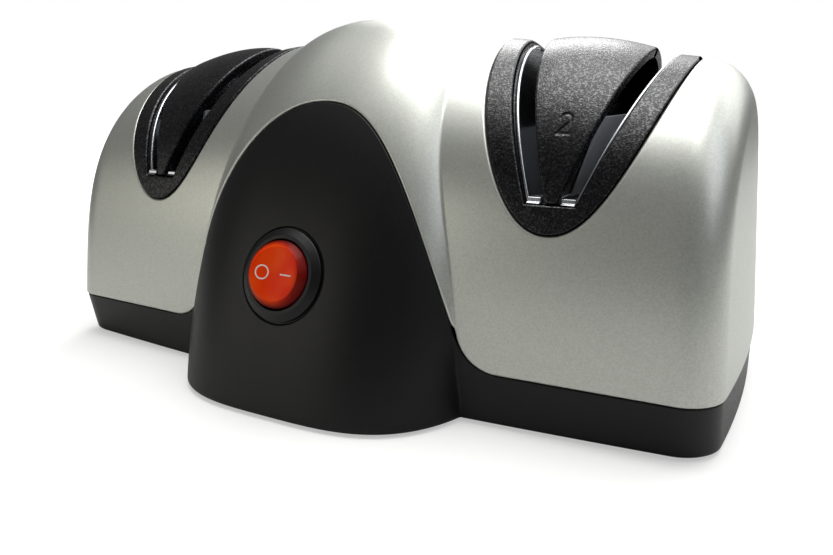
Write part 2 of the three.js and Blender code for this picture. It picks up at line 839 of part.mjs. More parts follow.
// Screw with a crossed recess: direction is 1 for a shank that points up and -1 for one that points down
function screw({ x, y }, seat, direction, length) {
  const headEnd = seat - direction * screwHeadHeight;
  const tip = seat + direction * length;
  const head = rodAlongZ(screwHeadRadius, Math.min(seat, headEnd), Math.max(seat, headEnd), x, y, smallFacets);
  const middle = (seat + headEnd) / 2;
  const shank = rodAlongZ(screwRadius, Math.min(middle, tip), Math.max(middle, tip), x, y, smallFacets);
  const deep = headEnd + direction * screwCrossDepth;
  const far = headEnd - direction * screwCrossDepth;
  const [low, high] = [Math.min(deep, far), Math.max(deep, far)];
  const [span, half] = [screwCrossSpan / 2, screwCrossWidth / 2];
  const first = box(x - span, x + span, y - half, y + half, low, high);
  const second = box(x - half, x + half, y - span, y + span, low, high);
  return cut(join(head, shank), first, second);
}

for (const place of coverScrews) {
  const shape = screw(place, coverScrewSeat - gap, 1, coverScrewLength);
  addPart(`cover_screw_${placeName(place)}`, shape, brightSteel);
}

// Switch

const bezelTop = gap + bezelHeight;
const rockerPivot = -rockerPivotDepth;

function switchBody() {
  const ring = rodAlongZ(bezelRadius, gap, bezelTop - bezelSlope, 0, 0);
  const slope = coneAlongZ(bezelRadius, bezelRim, bezelTop - bezelSlope, bezelTop);
  const barrel = rodAlongZ(switchBodyRadius, -switchBodyLength, bezelTop - bezelSlope, 0, 0);
  const pocket = rodAlongZ(switchPocketRadius, bezelTop - switchPocketDepth, bezelTop + overrun, 0, 0);
  const pins = rodAlongY(rockerPinRadius + gap, -bezelRadius, bezelRadius, 0, rockerPivot, smallFacets);
  const slots = [-1, 1].map((hand) => terminalBlade(hand, gap));
  return atSeat(cut(join(ring, slope, barrel), pocket, pins, ...slots));
}

function terminalBlade(hand, growth) {
  const middle = hand * terminalSpacing;
  const half = { x: terminalThickness / 2 + growth, y: terminalWidth / 2 + growth };
  const high = terminalGrip - switchBodyLength;
  return box(middle - half.x, middle + half.x, -half.y, half.y, high - terminalLength, high + growth);
}

// Button with a dished face, at rest with its right half pressed
function rockerButton() {
  const ball = new THREE.SphereGeometry(rockerRadius, facets, smallFacets).rotateX(Math.PI / 2);
  const rise = rockerFace + rockerFaceRadius * Math.tan(rockerDish);
  const drum = rodAlongZ(rockerRadius, 0, rockerShoulder, 0, 0);
  const shoulder = coneAlongZ(rockerRadius, rockerFaceRadius, rockerShoulder, rise);
  const high = rockerFace + rockerRadius * Math.tan(rockerDish);
  const outline = [
    [-rockerRadius, -rockerBack], [rockerRadius, -rockerBack],
    [rockerRadius, high], [0, rockerFace], [-rockerRadius, high],
  ];
  const pins = rodAlongY(rockerPinRadius, -rockerPinReach, rockerPinReach, 0, 0, smallFacets);
  const button = join(solidOf(ball), drum, shoulder);
  const solid = join(common(button, prismAlongY(outline, -rockerRadius, rockerRadius)), pins);
  const turned = geometryOf(solid).rotateY(rockerTilt).translate(0, 0, rockerPivot);
  return atSeat(solidOf(turned));
}

addPart('switch_body', switchBody(), blackPlastic);
addPart('rocker_button', rockerButton(), redLens);
for (const { hand, word } of [{ hand: -1, word: 'left' }, { hand: 1, word: 'right' }]) {
  addPart(`switch_terminal_${word}`, atSeat(terminalBlade(hand, 0)), brass);
}

function gland() {
  const outer = rodAlongY(glandFlangeRadius, glandOuter - glandFlange, glandOuter, 0, glandHeight);
  const inner = rodAlongY(glandFlangeRadius, glandInner, glandInner + glandFlange, 0, glandHeight);
  const barrel = rodAlongY(glandRadius, glandInner, glandOuter, 0, glandHeight);
  const bore = rodAlongY(glandBore, glandInner - overrun, glandOuter + overrun, 0, glandHeight);
  return cut(join(outer, inner, barrel), bore);
}

addPart('cord_gland', gland(), rubber);

// Shaft train

// Rod about the shaft's axis, between two distances from a stage's middle towards one hand
function stageRod(side, hand, radius, from, to, sides = facets) {
  const ends = [side * stageOffset + hand * from, side * stageOffset + hand * to];
  return rodAlongX(radius, Math.min(...ends), Math.max(...ends), 0, shaftHeight, sides);
}

const wheelBossEnd = wheelHalfGap + wheelThickness + wheelBossLength;
const ringFrom = wheelBossEnd + gap;
const ringTo = ringFrom + ringThickness;

function belowFlat(low, high, growth) {
  return box(low, high, -wheelRadius, wheelRadius, 0, shaftHeight + driveFlat + growth);
}

function driveShaft() {
  const end = endBearingOffset + endBearingHalf + shaftOverhang;
  let shaft = rodAlongX(shaftRadius, -end, end, 0, shaftHeight, smallFacets);
  for (const { side } of stages) {
    const [low, high] = [side * stageOffset - wheelBossEnd, side * stageOffset + wheelBossEnd];
    const above = box(low, high, -shaftRadius, shaftRadius, shaftHeight + driveFlat, shaftHeight + wheelRadius);
    shaft = cut(shaft, above);
    for (const { hand } of hands) {
      const space = stageRod(side, hand, wheelRadius, ringFrom - gap, ringTo + gap);
      const core = stageRod(side, hand, shaftRadius - ringGrooveDepth, 0, ringTo + overrun, smallFacets);
      shaft = cut(shaft, cut(space, core));
    }
  }
  return shaft;
}

// Dished wheel: a disc with a bevelled rim, and a boss that holds the spring and slides on the shaft's flat
function grindingWheel(side, hand) {
  const discEnd = wheelHalfGap + wheelThickness;
  const disc = stageRod(side, hand, wheelRadius, wheelHalfGap, discEnd - wheelRimTaper);
  const rim = new THREE.CylinderGeometry(wheelRadius, wheelRadius - wheelRimTaper, wheelRimTaper, facets);
  rim.rotateZ(hand * Math.PI / 2);
  const rimMiddle = side * stageOffset + hand * (discEnd - wheelRimTaper / 2);
  const boss = stageRod(side, hand, wheelBossRadius, wheelHalfGap, wheelBossEnd);
  const pocket = stageRod(side, hand, springPocketRadius, -overrun, wheelHalfGap + springPocketDepth);
  const reach = wheelBossEnd + overrun;
  const bore = stageRod(side, hand, shaftRadius + gap, -reach, reach);
  const flat = belowFlat(side * stageOffset - reach, side * stageOffset + reach, gap);
  const solid = join(disc, placed(rim, rimMiddle, 0, shaftHeight), boss);
  return cut(solid, pocket, common(bore, flat));
}

class Coil extends THREE.Curve {
  constructor(middle, halfLength) {
    super();
    this.middle = middle;
    this.halfLength = halfLength;
  }

  getPoint(share, target = new THREE.Vector3()) {
    const angle = share * springTurns * 2 * Math.PI;
    const x = this.middle + (2 * share - 1) * this.halfLength;
    return target.set(x, springRadius * Math.cos(angle), shaftHeight + springRadius * Math.sin(angle));
  }
}

const coilSteps = 8;
const wireQuarters = 3;

// Drawn at the length it has while both wheels are pushed in
function wheelSpring(side) {
  const half = wheelHalfGap + springPocketDepth - wheelTravel - gap - springWire;
  const section = new THREE.Shape();
  section.absarc(0, 0, springWire, 0, 2 * Math.PI);
  const path = new Coil(side * stageOffset, half);
  const options = { steps: coilSteps * springTurns, curveSegments: wireQuarters, extrudePath: path, bevelEnabled: false };
  return solidOf(new THREE.ExtrudeGeometry(section, options));
}

function stopRing(side, hand) {
  const ring = stageRod(side, hand, ringRadius, ringFrom, ringTo, smallFacets);
  const bore = stageRod(side, hand, shaftRadius - ringGrooveDepth + gap, 0, ringTo + overrun, smallFacets);
  const [low, high] = [side * stageOffset - ringTo, side * stageOffset + ringTo];
  const mouth = box(low - overrun, high + overrun, -ringMouth / 2, ringMouth / 2, shaftHeight, shaftHeight + wheelRadius);
  return cut(ring, bore, mouth);
}

addPart('drive_shaft', driveShaft(), brightSteel);
for (const { side, number } of stages) {
  addPart(`wheel_spring_${number}`, wheelSpring(side), greySteel);
  for (const { hand, word } of hands) {
    addPart(`grinding_wheel_${number}_${word}`, grindingWheel(side, hand), abrasive);
    addPart(`stop_ring_${number}_${word}`, stopRing(side, hand), brightSteel);
  }
}

// Bearings

function bearing(middle, radius, width) {
  const [low, high] = [middle - width / 2, middle + width / 2];
  const bore = rodAlongX(shaftRadius + gap, low - overrun, high + overrun, 0, shaftHeight, smallFacets);
  return cut(rodAlongX(radius, low, high, 0, shaftHeight), bore);
}

function bearingCap(side) {
  const middle = side * endBearingOffset;
  const outer = pedestalHalfWidth + gap + capThickness;
  const low = shaftHeight - capGrip;
  const block = box(middle - endBearingHalf, middle + endBearingHalf, -outer, outer,
    low, shaftHeight + endBearingRadius + gap + capThickness);
  const reach = endBearingHalf + overrun;
  const inner = pedestalHalfWidth + gap;
  const space = box(middle - reach, middle + reach, -inner, inner, low - overrun, shaftHeight + gap);
  return cut(block, space, endBearingSpace(side));
}

for (const { side, word } of [{ side: -1, word: 'left' }, { side: 1, word: 'right' }]) {
  addPart(`end_bearing_${word}`, bearing(side * endBearingOffset, endBearingRadius, endBearingWidth), brass);
  addPart(`bearing_cap_${word}`, bearingCap(side), blackPlastic);
}

// Motor

const canBore = motorRadius - motorWall;
const bellFrom = motorHalfLength + gap;
const bellTo = bellFrom + bellPlate;

// Rod about the shaft's axis, between two distances from the motor's middle towards one hand
function motorRod(hand, radius, from, to) {
  const ends = [hand * from, hand * to];
  return rodAlongX(radius, Math.min(...ends), Math.max(...ends), 0, shaftHeight);
}

function motorCan() {
  const outer = rodAlongX(motorRadius, -motorHalfLength, motorHalfLength, 0, shaftHeight);
  return cut(outer, rodAlongX(canBore, -bellFrom, bellFrom, 0, shaftHeight));
}

function endBell(hand) {
  const plate = motorRod(hand, motorRadius, bellFrom, bellTo);
  const spigotStart = bellFrom - bellSpigot;
  const spigot = motorRod(hand, canBore - gap, spigotStart, bellTo - bellPlate / 2);
  const hollow = motorRod(hand, canBore - gap - bellSpigotWall, spigotStart - overrun, bellFrom);
  const boss = motorRod(hand, bellBossRadius, bellFrom, bellTo + bellBossLength);
  const pocket = motorRod(hand, motorBearingRadius + gap, spigotStart, bellTo + motorBearingWidth + gap);
  const bore = motorRod(hand, shaftRadius + gap, spigotStart, bellTo + bellBossLength + overrun);
  return cut(join(plate, cut(spigot, hollow), boss), pocket, bore);
}

const brushMiddle = (commutatorLeft + commutatorRight) / 2;
const brushLow = commutatorRadius + gap;
const polePlaces = [{ face: -1, word: 'lower' }, { face: 1, word: 'upper' }];

function brushBox(face, growth, lowReach, highReach, endX) {
  const half = brushSize / 2 + growth;
  const ends = [shaftHeight + face * lowReach, shaftHeight + face * highReach];
  return box(brushMiddle - half, endX, -half, half, Math.min(...ends), Math.max(...ends));
}

const brushTube = (face) => cut(
  brushBox(face, gap + brushTubeWall, brushLow + gap, brushLow + brushLength + gap, bellFrom + bellPlate / 2),
  brushBox(face, gap, 0, rotorRadius + overrun, brushMiddle + brushSize / 2 + gap),
);

function brushBell() {
  return join(endBell(1), ...polePlaces.map(({ face }) => brushTube(face)));
}

function carbonBrush(face) {
  return brushBox(face, 0, brushLow, brushLow + brushLength, brushMiddle + brushSize / 2);
}

const magnetSteps = 6;

// Curved magnet inside the can: an arc carried along X
function magnet(face) {
  const outer = canBore - gap;
  const section = new THREE.Shape();
  const start = face * Math.PI / 2 - magnetSpan / 2;
  section.absarc(0, 0, outer, start, start + magnetSpan, false);
  section.absarc(0, 0, outer - magnetThickness, start + magnetSpan, start, true);
  const options = { depth: 2 * magnetHalfLength, bevelEnabled: false, curveSegments: magnetSteps };
  const geometry = new THREE.ExtrudeGeometry(section, options).rotateX(Math.PI / 2).rotateZ(Math.PI / 2);
  return placed(geometry, -magnetHalfLength, 0, shaftHeight);
}

function rotorSlotBoxes(halfWidth, low, high, left, right) {
  return Array.from({ length: rotorSlots }, (_, i) => {
    const bar = new THREE.BoxGeometry(right - left, 2 * halfWidth, high - low);
    bar.translate((left + right) / 2, 0, (low + high) / 2);
    return placed(bar.rotateX(i / rotorSlots * 2 * Math.PI), 0, 0, shaftHeight);
  });
}

const shaftSpace = (left, right) =>
  rodAlongX(shaftRadius + gap, left - overrun, right + overrun, 0, shaftHeight, smallFacets);

function rotorCore() {
  const core = rodAlongX(rotorRadius, rotorLeft, rotorRight, 0, shaftHeight);
  const reach = rotorRadius + overrun;
  const slots = rotorSlotBoxes(rotorSlotWidth / 2, rotorSlotFloor, reach, rotorLeft - overrun, rotorRight + overrun);
  return cut(core, ...slots, shaftSpace(rotorLeft, rotorRight));
}

// Winding: bars through the core's slots, joined by a ring at each end
function rotorCoil() {
  const [left, right] = [rotorLeft - gap, rotorRight + gap];
  const half = rotorSlotWidth / 2 - gap;
  const bars = rotorSlotBoxes(half, rotorSlotFloor + gap, coilRadius, left - coilEnd / 2, right + coilEnd / 2);
  const ends = [rodAlongX(coilRadius, left - coilEnd, left, 0, shaftHeight),
    rodAlongX(coilRadius, right, right + coilEnd, 0, shaftHeight)];
  return cut(join(...ends, ...bars), shaftSpace(left - coilEnd, right + coilEnd));
}

function commutator() {
  const drum = rodAlongX(commutatorRadius, commutatorLeft, commutatorRight, 0, shaftHeight);
  return cut(drum, shaftSpace(commutatorLeft, commutatorRight));
}

const fanRight = -(bellTo + bellBossLength + gap);
const fanLeft = fanRight - fanWidth;

function coolingFan() {
  const hub = rodAlongX(fanHubRadius, fanLeft, fanRight, 0, shaftHeight);
  const disc = rodAlongX(fanRadius, fanRight - fanDisc, fanRight, 0, shaftHeight);
  const blades = Array.from({ length: fanBlades }, (_, i) => {
    const blade = new THREE.BoxGeometry(fanWidth, fanBladeThickness, fanRadius - fanHubRadius / 2);
    blade.translate((fanLeft + fanRight) / 2, 0, (fanRadius + fanHubRadius / 2) / 2);
    return placed(blade.rotateX(i / fanBlades * 2 * Math.PI), 0, 0, shaftHeight);
  });
  return cut(join(hub, disc, ...blades), shaftSpace(fanLeft, fanRight));
}

// Strap over the can, screwed to the two posts beside it
function motorStrap() {
  const half = strapWidth / 2;
  const [inner, outer] = [motorRadius + gap, motorRadius + gap + strapThickness];
  const low = strapPostHeight + gap;
  const arch = common(rodAlongX(outer, -half, half, 0, shaftHeight), box(-half, half, -outer, outer, shaftHeight, above));
  const legs = box(-half, half, -outer, outer, low, shaftHeight + gap);
  const reach = strapPostOffset + postRadius;
  const flange = box(-half, half, -reach, reach, low, low + strapThickness);
  const canSpace = rodAlongX(inner, -half - overrun, half + overrun, 0, shaftHeight);
  const legSpace = box(-half - overrun, half + overrun, -inner, inner, 0, shaftHeight);
  const holes = strapPlaces.map(({ x, y }) => rodAlongZ(screwRadius + gap, 0, shaftHeight, x, y, smallFacets));
  return cut(join(arch, legs, flange), canSpace, legSpace, ...holes);
}

addPart('motor_can', motorCan(), ironCore);
addPart('end_bell_left', endBell(-1), whitePlastic);
addPart('end_bell_right', brushBell(), whitePlastic);
const motorBearingMiddle = bellTo + motorBearingWidth / 2;
addPart('motor_bearing_left', bearing(-motorBearingMiddle, motorBearingRadius, motorBearingWidth), brass);
addPart('motor_bearing_right', bearing(motorBearingMiddle, motorBearingRadius, motorBearingWidth), brass);
for (const { face, word } of polePlaces) {
  addPart(`carbon_brush_${word}`, carbonBrush(face), carbon);
  addPart(`magnet_${word}`, magnet(face), ceramicMagnet);
}
addPart('rotor_core', rotorCore(), ironCore);
addPart('rotor_coil', rotorCoil(), copper);
addPart('commutator', commutator(), copper);
addPart('cooling_fan', coolingFan(), whitePlastic);
addPart('motor_strap', motorStrap(), greySteel);
for (const place of strapPlaces) {
  const seat = strapPostHeight + gap + strapThickness + gap;
  const word = place.face < 0 ? 'front' : 'rear';
  addPart(`strap_screw_${word}`, screw(place, seat, -1, strapScrewLength - gap), brightSteel);
}

export default sharpener;
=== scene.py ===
# %% [markdown]
# # An electric knife sharpener, dressed over its CAD frame
# The machine has a black base that rises into an arched panel at the front and rear, a silver cover
# with two wings and a dome, and two V-shaped slot stages. The CAD model fixes every size, joint and
# inner part. Here its visible skins get smooth surfaces, rounded edges and materials. Shapes are in
# millimetres in the CAD's frame: X along the length, the switch facing -Y.

# %% Load the CAD frame
import json

import bpy
import numpy as np
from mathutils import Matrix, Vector


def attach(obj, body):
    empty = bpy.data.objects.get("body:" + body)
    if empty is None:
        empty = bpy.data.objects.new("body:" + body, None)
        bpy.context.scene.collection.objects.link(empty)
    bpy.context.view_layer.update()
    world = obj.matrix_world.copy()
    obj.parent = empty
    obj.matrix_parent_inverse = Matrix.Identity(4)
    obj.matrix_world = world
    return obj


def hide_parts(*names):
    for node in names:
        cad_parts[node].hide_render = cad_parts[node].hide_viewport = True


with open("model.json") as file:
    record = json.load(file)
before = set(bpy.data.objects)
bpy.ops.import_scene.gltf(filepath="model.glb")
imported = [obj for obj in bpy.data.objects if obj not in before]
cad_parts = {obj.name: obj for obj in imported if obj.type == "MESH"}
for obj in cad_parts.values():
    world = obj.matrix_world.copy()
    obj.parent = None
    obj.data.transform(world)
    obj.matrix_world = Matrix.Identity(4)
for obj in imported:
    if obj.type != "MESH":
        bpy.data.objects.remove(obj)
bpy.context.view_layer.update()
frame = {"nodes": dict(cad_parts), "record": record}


nodes = frame["nodes"]

# %% [markdown]
# ## Sizes
# A skin that replaces a CAD solid has to follow the same formulas, so the driving sizes are repeated.

# %% Driving sizes in millimetres
HALF_LENGTH = 111.8
SEAM_HEIGHT = 15.2
CREST_HEIGHT = 105.4
CREST_FALL = 0.112
HALF_DEPTH = 54.2
DEPTH_TAPER = 0.042
FRONT_DRAFT = 0.085
END_DRAFT = 0.083
END_BOW_RADIUS = 446
PLAN_CORNER = 9.5
TOP_CORNER = 11.6
WALL_POWER = 3.8
CROWN_POWER = 1.56

DOME_HEIGHT = 108.2
DOME_HALF_DEPTH = 76.4
DOME_HALF_WIDTH = 51.3
DOME_DEPTH_POWERS = (1.2, 0.423)
DOME_WIDTH_POWERS = (2.12, 0.364)
DOME_PLAN_POWER = 3.42
DOME_REAR_GAIN = 0.1

GROUND_CLEARANCE = 0.7
SKIRT_TAPER = 3.4
SKIRT_EDGE = 1.4
REVEAL_STEP = 0.4
WALL = 2.5
GAP = 0.3

ARCH_HEIGHT = 83.4
ARCH_HALF_WIDTH = 46.6
ARCH_RISE_POWER = 1.22
ARCH_WIDTH_POWER = 0.45
ARCH_FILLET = 12
ARCH_LEAN = 0.243
ARCH_GAP = 0.4

SHAFT_HEIGHT = 38
WHEEL_WELL_RADIUS = 28
SLOT_BOTTOM = 59
STAGE_OFFSET = 0.593 * HALF_LENGTH
STAGE_MIDDLES = {1: -STAGE_OFFSET, 2: STAGE_OFFSET}
STAGE_TIP = 51.7
STAGE_HALF_WIDTH = 0.2415 * HALF_LENGTH
STAGE_POWER = 0.93
FRAME_PROUD = 0.3
FRAME_ARM = 6.1
SLOT_INNER = 1.3
SLOT_OUTER = 6.3
BLOCK_REACH = 0.5285 * STAGE_HALF_WIDTH
BLOCK_CROWN = 3.9
BLOCK_CROWN_FALL = 0.7
BLOCK_SLOPE_SHARE = 0.5
BLOCK_SHELL = 2.6
STAGE_RISE = CREST_HEIGHT - CREST_FALL * STAGE_OFFSET - SLOT_BOTTOM
OUTER_LEAN = np.arctan2(STAGE_HALF_WIDTH - FRAME_ARM - SLOT_OUTER, STAGE_RISE)
INNER_LEAN = np.arctan2(BLOCK_REACH - SLOT_INNER, STAGE_RISE)
print("slot walls lean by", np.degrees([OUTER_LEAN, INNER_LEAN]).round(2), "degrees")

# %% [markdown]
# ## From arrays to meshes
# Every skin is a grid of points over two parameters. The helpers join grids, cut a skin where a signed
# value is zero, and roll a rounded rim over the cut. Arithmetic keeps the edge as smooth as its
# formula, which a boolean on facets can't do.

# %% Grid helpers
def unit(vectors):
    """Each vector divided by its length."""
    return vectors / np.maximum(np.linalg.norm(vectors, axis=-1, keepdims=True), 1e-12)


def grid_quads(rows, columns):
    """Corner numbers of every cell of a grid stored row by row."""
    index = np.arange(rows * columns).reshape(rows, columns)
    corners = [index[:-1, :-1], index[1:, :-1], index[1:, 1:], index[:-1, 1:]]
    return np.stack(corners, -1).reshape(-1, 4)


def vertex_normals(points, quads):
    """Sum of the area vectors of the faces round each point, one unit long."""
    corner = points[quads]
    area = np.cross(corner[:, 2] - corner[:, 0], corner[:, 3] - corner[:, 1])
    total = np.zeros_like(points)
    for side in range(4):
        np.add.at(total, quads[:, side], area)
    return unit(total)


def skin_of(*grids):
    """Joins grids into one skin. Equal points are merged, so that seams close and shade smoothly."""
    starts = np.cumsum([0, *(grid.size // 3 for grid in grids)])
    points = np.concatenate([grid.reshape(-1, 3) for grid in grids])
    quads = np.concatenate([grid_quads(*grid.shape[:2]) + start for grid, start in zip(grids, starts)])
    _, first, number = np.unique(np.round(points, 4), axis=0, return_index=True, return_inverse=True)
    points, quads = points[first], number.reshape(-1)[quads]
    return points, quads, vertex_normals(points, quads)


def cut_skin(skin, value):
    """Keeps the side of a skin where value is positive.

    An edge is cut where the value, taken as linear along it, is zero. A crossed cell keeps the polygon
    of its inside corners and cut points. Returns points, normals, faces and the cut line's edges.
    """
    points, quads, normals = skin
    inside = value > 0
    ends = np.stack([quads, np.roll(quads, -1, 1)], -1)
    crossed = inside[ends[..., 0]] != inside[ends[..., 1]]
    pairs, number = np.unique(np.sort(ends[crossed], -1), axis=0, return_inverse=True)
    low, high = pairs.T
    share = (value[low] / (value[low] - value[high]))[:, None]
    points_out, normals_out = (
        np.concatenate([old, old[low] + share * (old[high] - old[low])]) for old in (points, normals))

    corner = np.where(inside[quads] & (ends[..., 0] != ends[..., 1]), quads, -1)
    cuts = np.full(quads.shape, -1)
    cuts[crossed] = len(points) + number.reshape(-1)
    walk = np.stack([corner, cuts], -1).reshape(-1, 8)
    count = (walk >= 0).sum(1)
    faces = [walk[count == size][walk[count == size] >= 0].reshape(-1, size) for size in (3, 4, 5, 6)]

    leaving, entering = crossed & inside[ends[..., 0]], crossed & ~inside[ends[..., 0]]
    simple = leaving.sum(1) == 1
    edges = np.stack([cuts[simple][leaving[simple]], cuts[simple][entering[simple]]], -1)
    return points_out, unit(normals_out), faces, edges


def roll_rim(points, normals, edges, profile):
    """Carries a profile along a cut line.

    The profile lists (out, deep, lean): how far outward from the cut and how deep under the skin a
    line of the rim lies, as numbers or arrays, and how many degrees its normal has turned outward.
    """
    used, local = np.unique(edges, return_inverse=True)
    start, end = local.reshape(-1, 2).T
    run = unit(points[edges[:, 1]] - points[edges[:, 0]])
    tangent = np.zeros((len(used), 3))
    np.add.at(tangent, start, run)
    np.add.at(tangent, end, run)
    up = normals[used]
    out = unit(np.cross(unit(tangent), up))
    levels, lean_normals = [], []
    for reach, deep, lean in profile:
        levels.append(points[used] + np.reshape(reach, (-1, 1)) * out - np.reshape(deep, (-1, 1)) * up)
        lean_normals.append(np.cos(np.radians(lean)) * up + np.sin(np.radians(lean)) * out)
    number = len(points) + np.arange(len(profile) * len(used)).reshape(len(profile), -1)
    number = np.vstack([used, number])
    bands = np.stack([number[:-1, end], number[:-1, start], number[1:, start], number[1:, end]], -1)
    return np.concatenate([points, *levels]), np.concatenate([normals, *lean_normals]), bands.reshape(-1, 4)


def rounded_edge(radius, depth):
    """Profile of a quarter round in four steps that goes on as a straight wall."""
    turns = np.radians([22.5, 45, 67.5, 90])
    quarter = [(radius * np.sin(t), radius * (1 - np.cos(t)), np.degrees(t)) for t in turns]
    return quarter + [(radius, depth, 90)]


def cut_part(skin, value, profile=None):
    """A cut skin as (points, normals, faces), with a rim along the cut. The profile is a list for
    roll_rim, or a function that makes it from the cut line's points."""
    points, normals, faces, edges = cut_skin(skin, value)
    if profile:
        rows = profile(points[np.unique(edges)]) if callable(profile) else profile
        points, normals, rim = roll_rim(points, normals, edges, rows)
        faces = [*faces, rim]
    return points, normals, faces


# %% Put a mesh into Blender
def in_scene(name, data):
    """A new object with this data, linked to the scene."""
    thing = bpy.data.objects.new(name, data)
    bpy.context.scene.collection.objects.link(thing)
    return thing


def joined(*parts):
    """Several (points, normals, faces) as one."""
    points, normals, faces = zip(*parts)
    starts = np.cumsum([0, *map(len, points)])
    faces = [rows + start for part_faces, start in zip(faces, starts) for rows in part_faces]
    return np.concatenate(points), np.concatenate(normals), faces


def new_piece(name, part, slot, *replaced, body="housing", material=None):
    """Makes a piece from (points, normals, faces), in metres, and ties it to the CAD."""
    points, normals, faces = part
    used = np.unique(np.concatenate([rows.ravel() for rows in faces]))
    number = np.zeros(len(points), int)
    number[used] = np.arange(len(used))
    mesh = bpy.data.meshes.new(name)
    corners = [row for rows in faces for row in number[rows].tolist()]
    mesh.from_pydata((points[used] * 0.001).tolist(), [], corners)
    mesh.shade_smooth()
    mesh.normals_split_custom_set_from_vertices(unit(normals[used]).tolist())
    mesh.materials.append(material or FINISH[slot])
    piece = in_scene(name, mesh)
    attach(piece, body)
    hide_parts(*replaced)
    print(name, "has", len(mesh.polygons), "faces and stands for", ", ".join(replaced) or "nothing")
    return piece


# %% [markdown]
# ## Materials
# Each finish starts from the real stuff, such as painted or spark-eroded ABS or rolled steel. One
# small function adds a node, so that a material reads as a recipe. Real patterns finer than 0.3 mm,
# such as paint flakes and blasted grain, are drawn that coarse, because else they wouldn't show.

# %% Colour and node helpers
def linear(hex_colour):
    """An sRGB hex colour as linear RGBA: a power of 2.4, and a straight line in the dark end."""
    channels = [int(hex_colour[i:i + 2], 16) / 255 for i in (1, 3, 5)]
    return (*[c / 12.92 if c <= 0.04045 else ((c + 0.055) / 1.055) ** 2.4 for c in channels], 1.0)


def feed(tree, node, **links):
    """Fills named or numbered inputs of a node with values or other nodes' outputs."""
    for key, value in links.items():
        numbered = key[0] == "i" and key[1:].isdigit()
        socket = node.inputs[int(key[1:]) if numbered else key.replace("_", " ")]
        if isinstance(value, bpy.types.NodeSocket):
            tree.links.new(value, socket)
        else:
            socket.default_value = value


def add_node(tree, kind, output=0, settings=None, **links):
    """Adds a node with its settings, feeds its inputs, and returns one of its outputs."""
    node = tree.nodes.new("ShaderNode" + kind)
    for key, value in (settings or {}).items():
        setattr(node, key, value)
    feed(tree, node, **links)
    return node.outputs[output]


def new_finish(name, colour, roughness, metallic=0.0, **sockets):
    """A material with plain values on its Principled shader, and its tree, shader and coordinates."""
    material = bpy.data.materials.new(name)
    material.use_nodes = True
    tree = material.node_tree
    shader = tree.nodes["Principled BSDF"]
    feed(tree, shader, Base_Color=linear(colour), Roughness=roughness, Metallic=metallic, **sockets)
    place = add_node(tree, "TexCoord", "Object")
    return material, tree, shader, place


def per_metre(millimetres):
    """Scale of a pattern with cells of this size, on coordinates in metres."""
    return 1000 / millimetres


# %% Silver paint on moulded ABS
RGBA = {"data_type": "RGBA"}


def silver_paint():
    """Sprayed paint with aluminium flakes: they glint, ten times as coarse as real ones of 0.03 mm so
    that they show, and the film lies in long faint waves."""
    material, tree, shader, place = new_finish("silver_flake_paint_on_ABS", "#B9B9B5", 0.36, 0.8)
    flakes = add_node(tree, "TexVoronoi", "Color", Vector=place, Scale=per_metre(0.3))
    red, green = (add_node(tree, "SeparateColor", channel, Color=flakes) for channel in ("Red", "Green"))
    tint = add_node(tree, "Mix", 2, RGBA, i0=red, i6=linear("#BABCB5"), i7=linear("#C9CBC4"))
    gloss = add_node(tree, "MapRange", Value=green, To_Min=0.32, To_Max=0.4)
    waves = add_node(tree, "TexNoise", Vector=place, Scale=per_metre(14), Detail=1.0)
    relief = add_node(tree, "Bump", Height=waves, Distance=0.03 * 0.001, Strength=0.3)
    feed(tree, shader, Base_Color=tint, Roughness=gloss, Normal=relief)
    return material


# %% Black ABS from a spark-eroded mould
def black_sparkle():
    """Black ABS from a spark-eroded mould: its craters, drawn at 0.38 mm where real ones are finer,
    sparkle where they are polished."""
    material, tree, shader, place = new_finish("black_ABS_spark_eroded", "#060608", 0.3)
    colour, slope = (add_node(tree, "TexVoronoi", output, Vector=place, Scale=per_metre(0.38))
                     for output in ("Color", "Distance"))
    red, green, blue = (add_node(tree, "SeparateColor", channel, Color=colour) for channel in range(3))
    tint = add_node(tree, "Mix", 2, RGBA, i0=blue, i6=linear("#050507"), i7=linear("#0C0C10"))
    gloss = add_node(tree, "MapRange", Value=red, To_Min=0.16, To_Max=0.34)
    shine = add_node(tree, "MapRange", Value=green, From_Min=0.5, To_Min=0.25, To_Max=0.9)
    relief = add_node(tree, "Bump", Height=slope, Distance=0.045 * 0.001, Strength=0.8)
    feed(tree, shader, Base_Color=tint, Roughness=gloss, Specular_IOR_Level=shine, Normal=relief)
    return material


# %% Metals and satin plastic
def lined(name, colour, roughness, size_mm, stretch, spread=(-0.08, 0.08), bump=(0.01, 0.4), **sockets):
    """One colour whose gloss varies in lines along one direction, as rolling or turning leaves them, or in
    an even grain where nothing is stretched. Real lines are finer than these, which have to show."""
    material, tree, shader, place = new_finish(name, colour, roughness, **sockets)
    along = add_node(tree, "Mapping", Vector=place, Scale=stretch)
    lines = add_node(tree, "TexNoise", Vector=along, Scale=per_metre(size_mm), Detail=3.0)
    gloss = add_node(tree, "MapRange", Value=lines, From_Min=0.3, From_Max=0.7,
                     To_Min=roughness + spread[0], To_Max=roughness + spread[1])
    relief = add_node(tree, "Bump", Height=lines, Distance=bump[0] * 0.001, Strength=bump[1])
    feed(tree, shader, Roughness=gloss, Normal=relief)
    return material


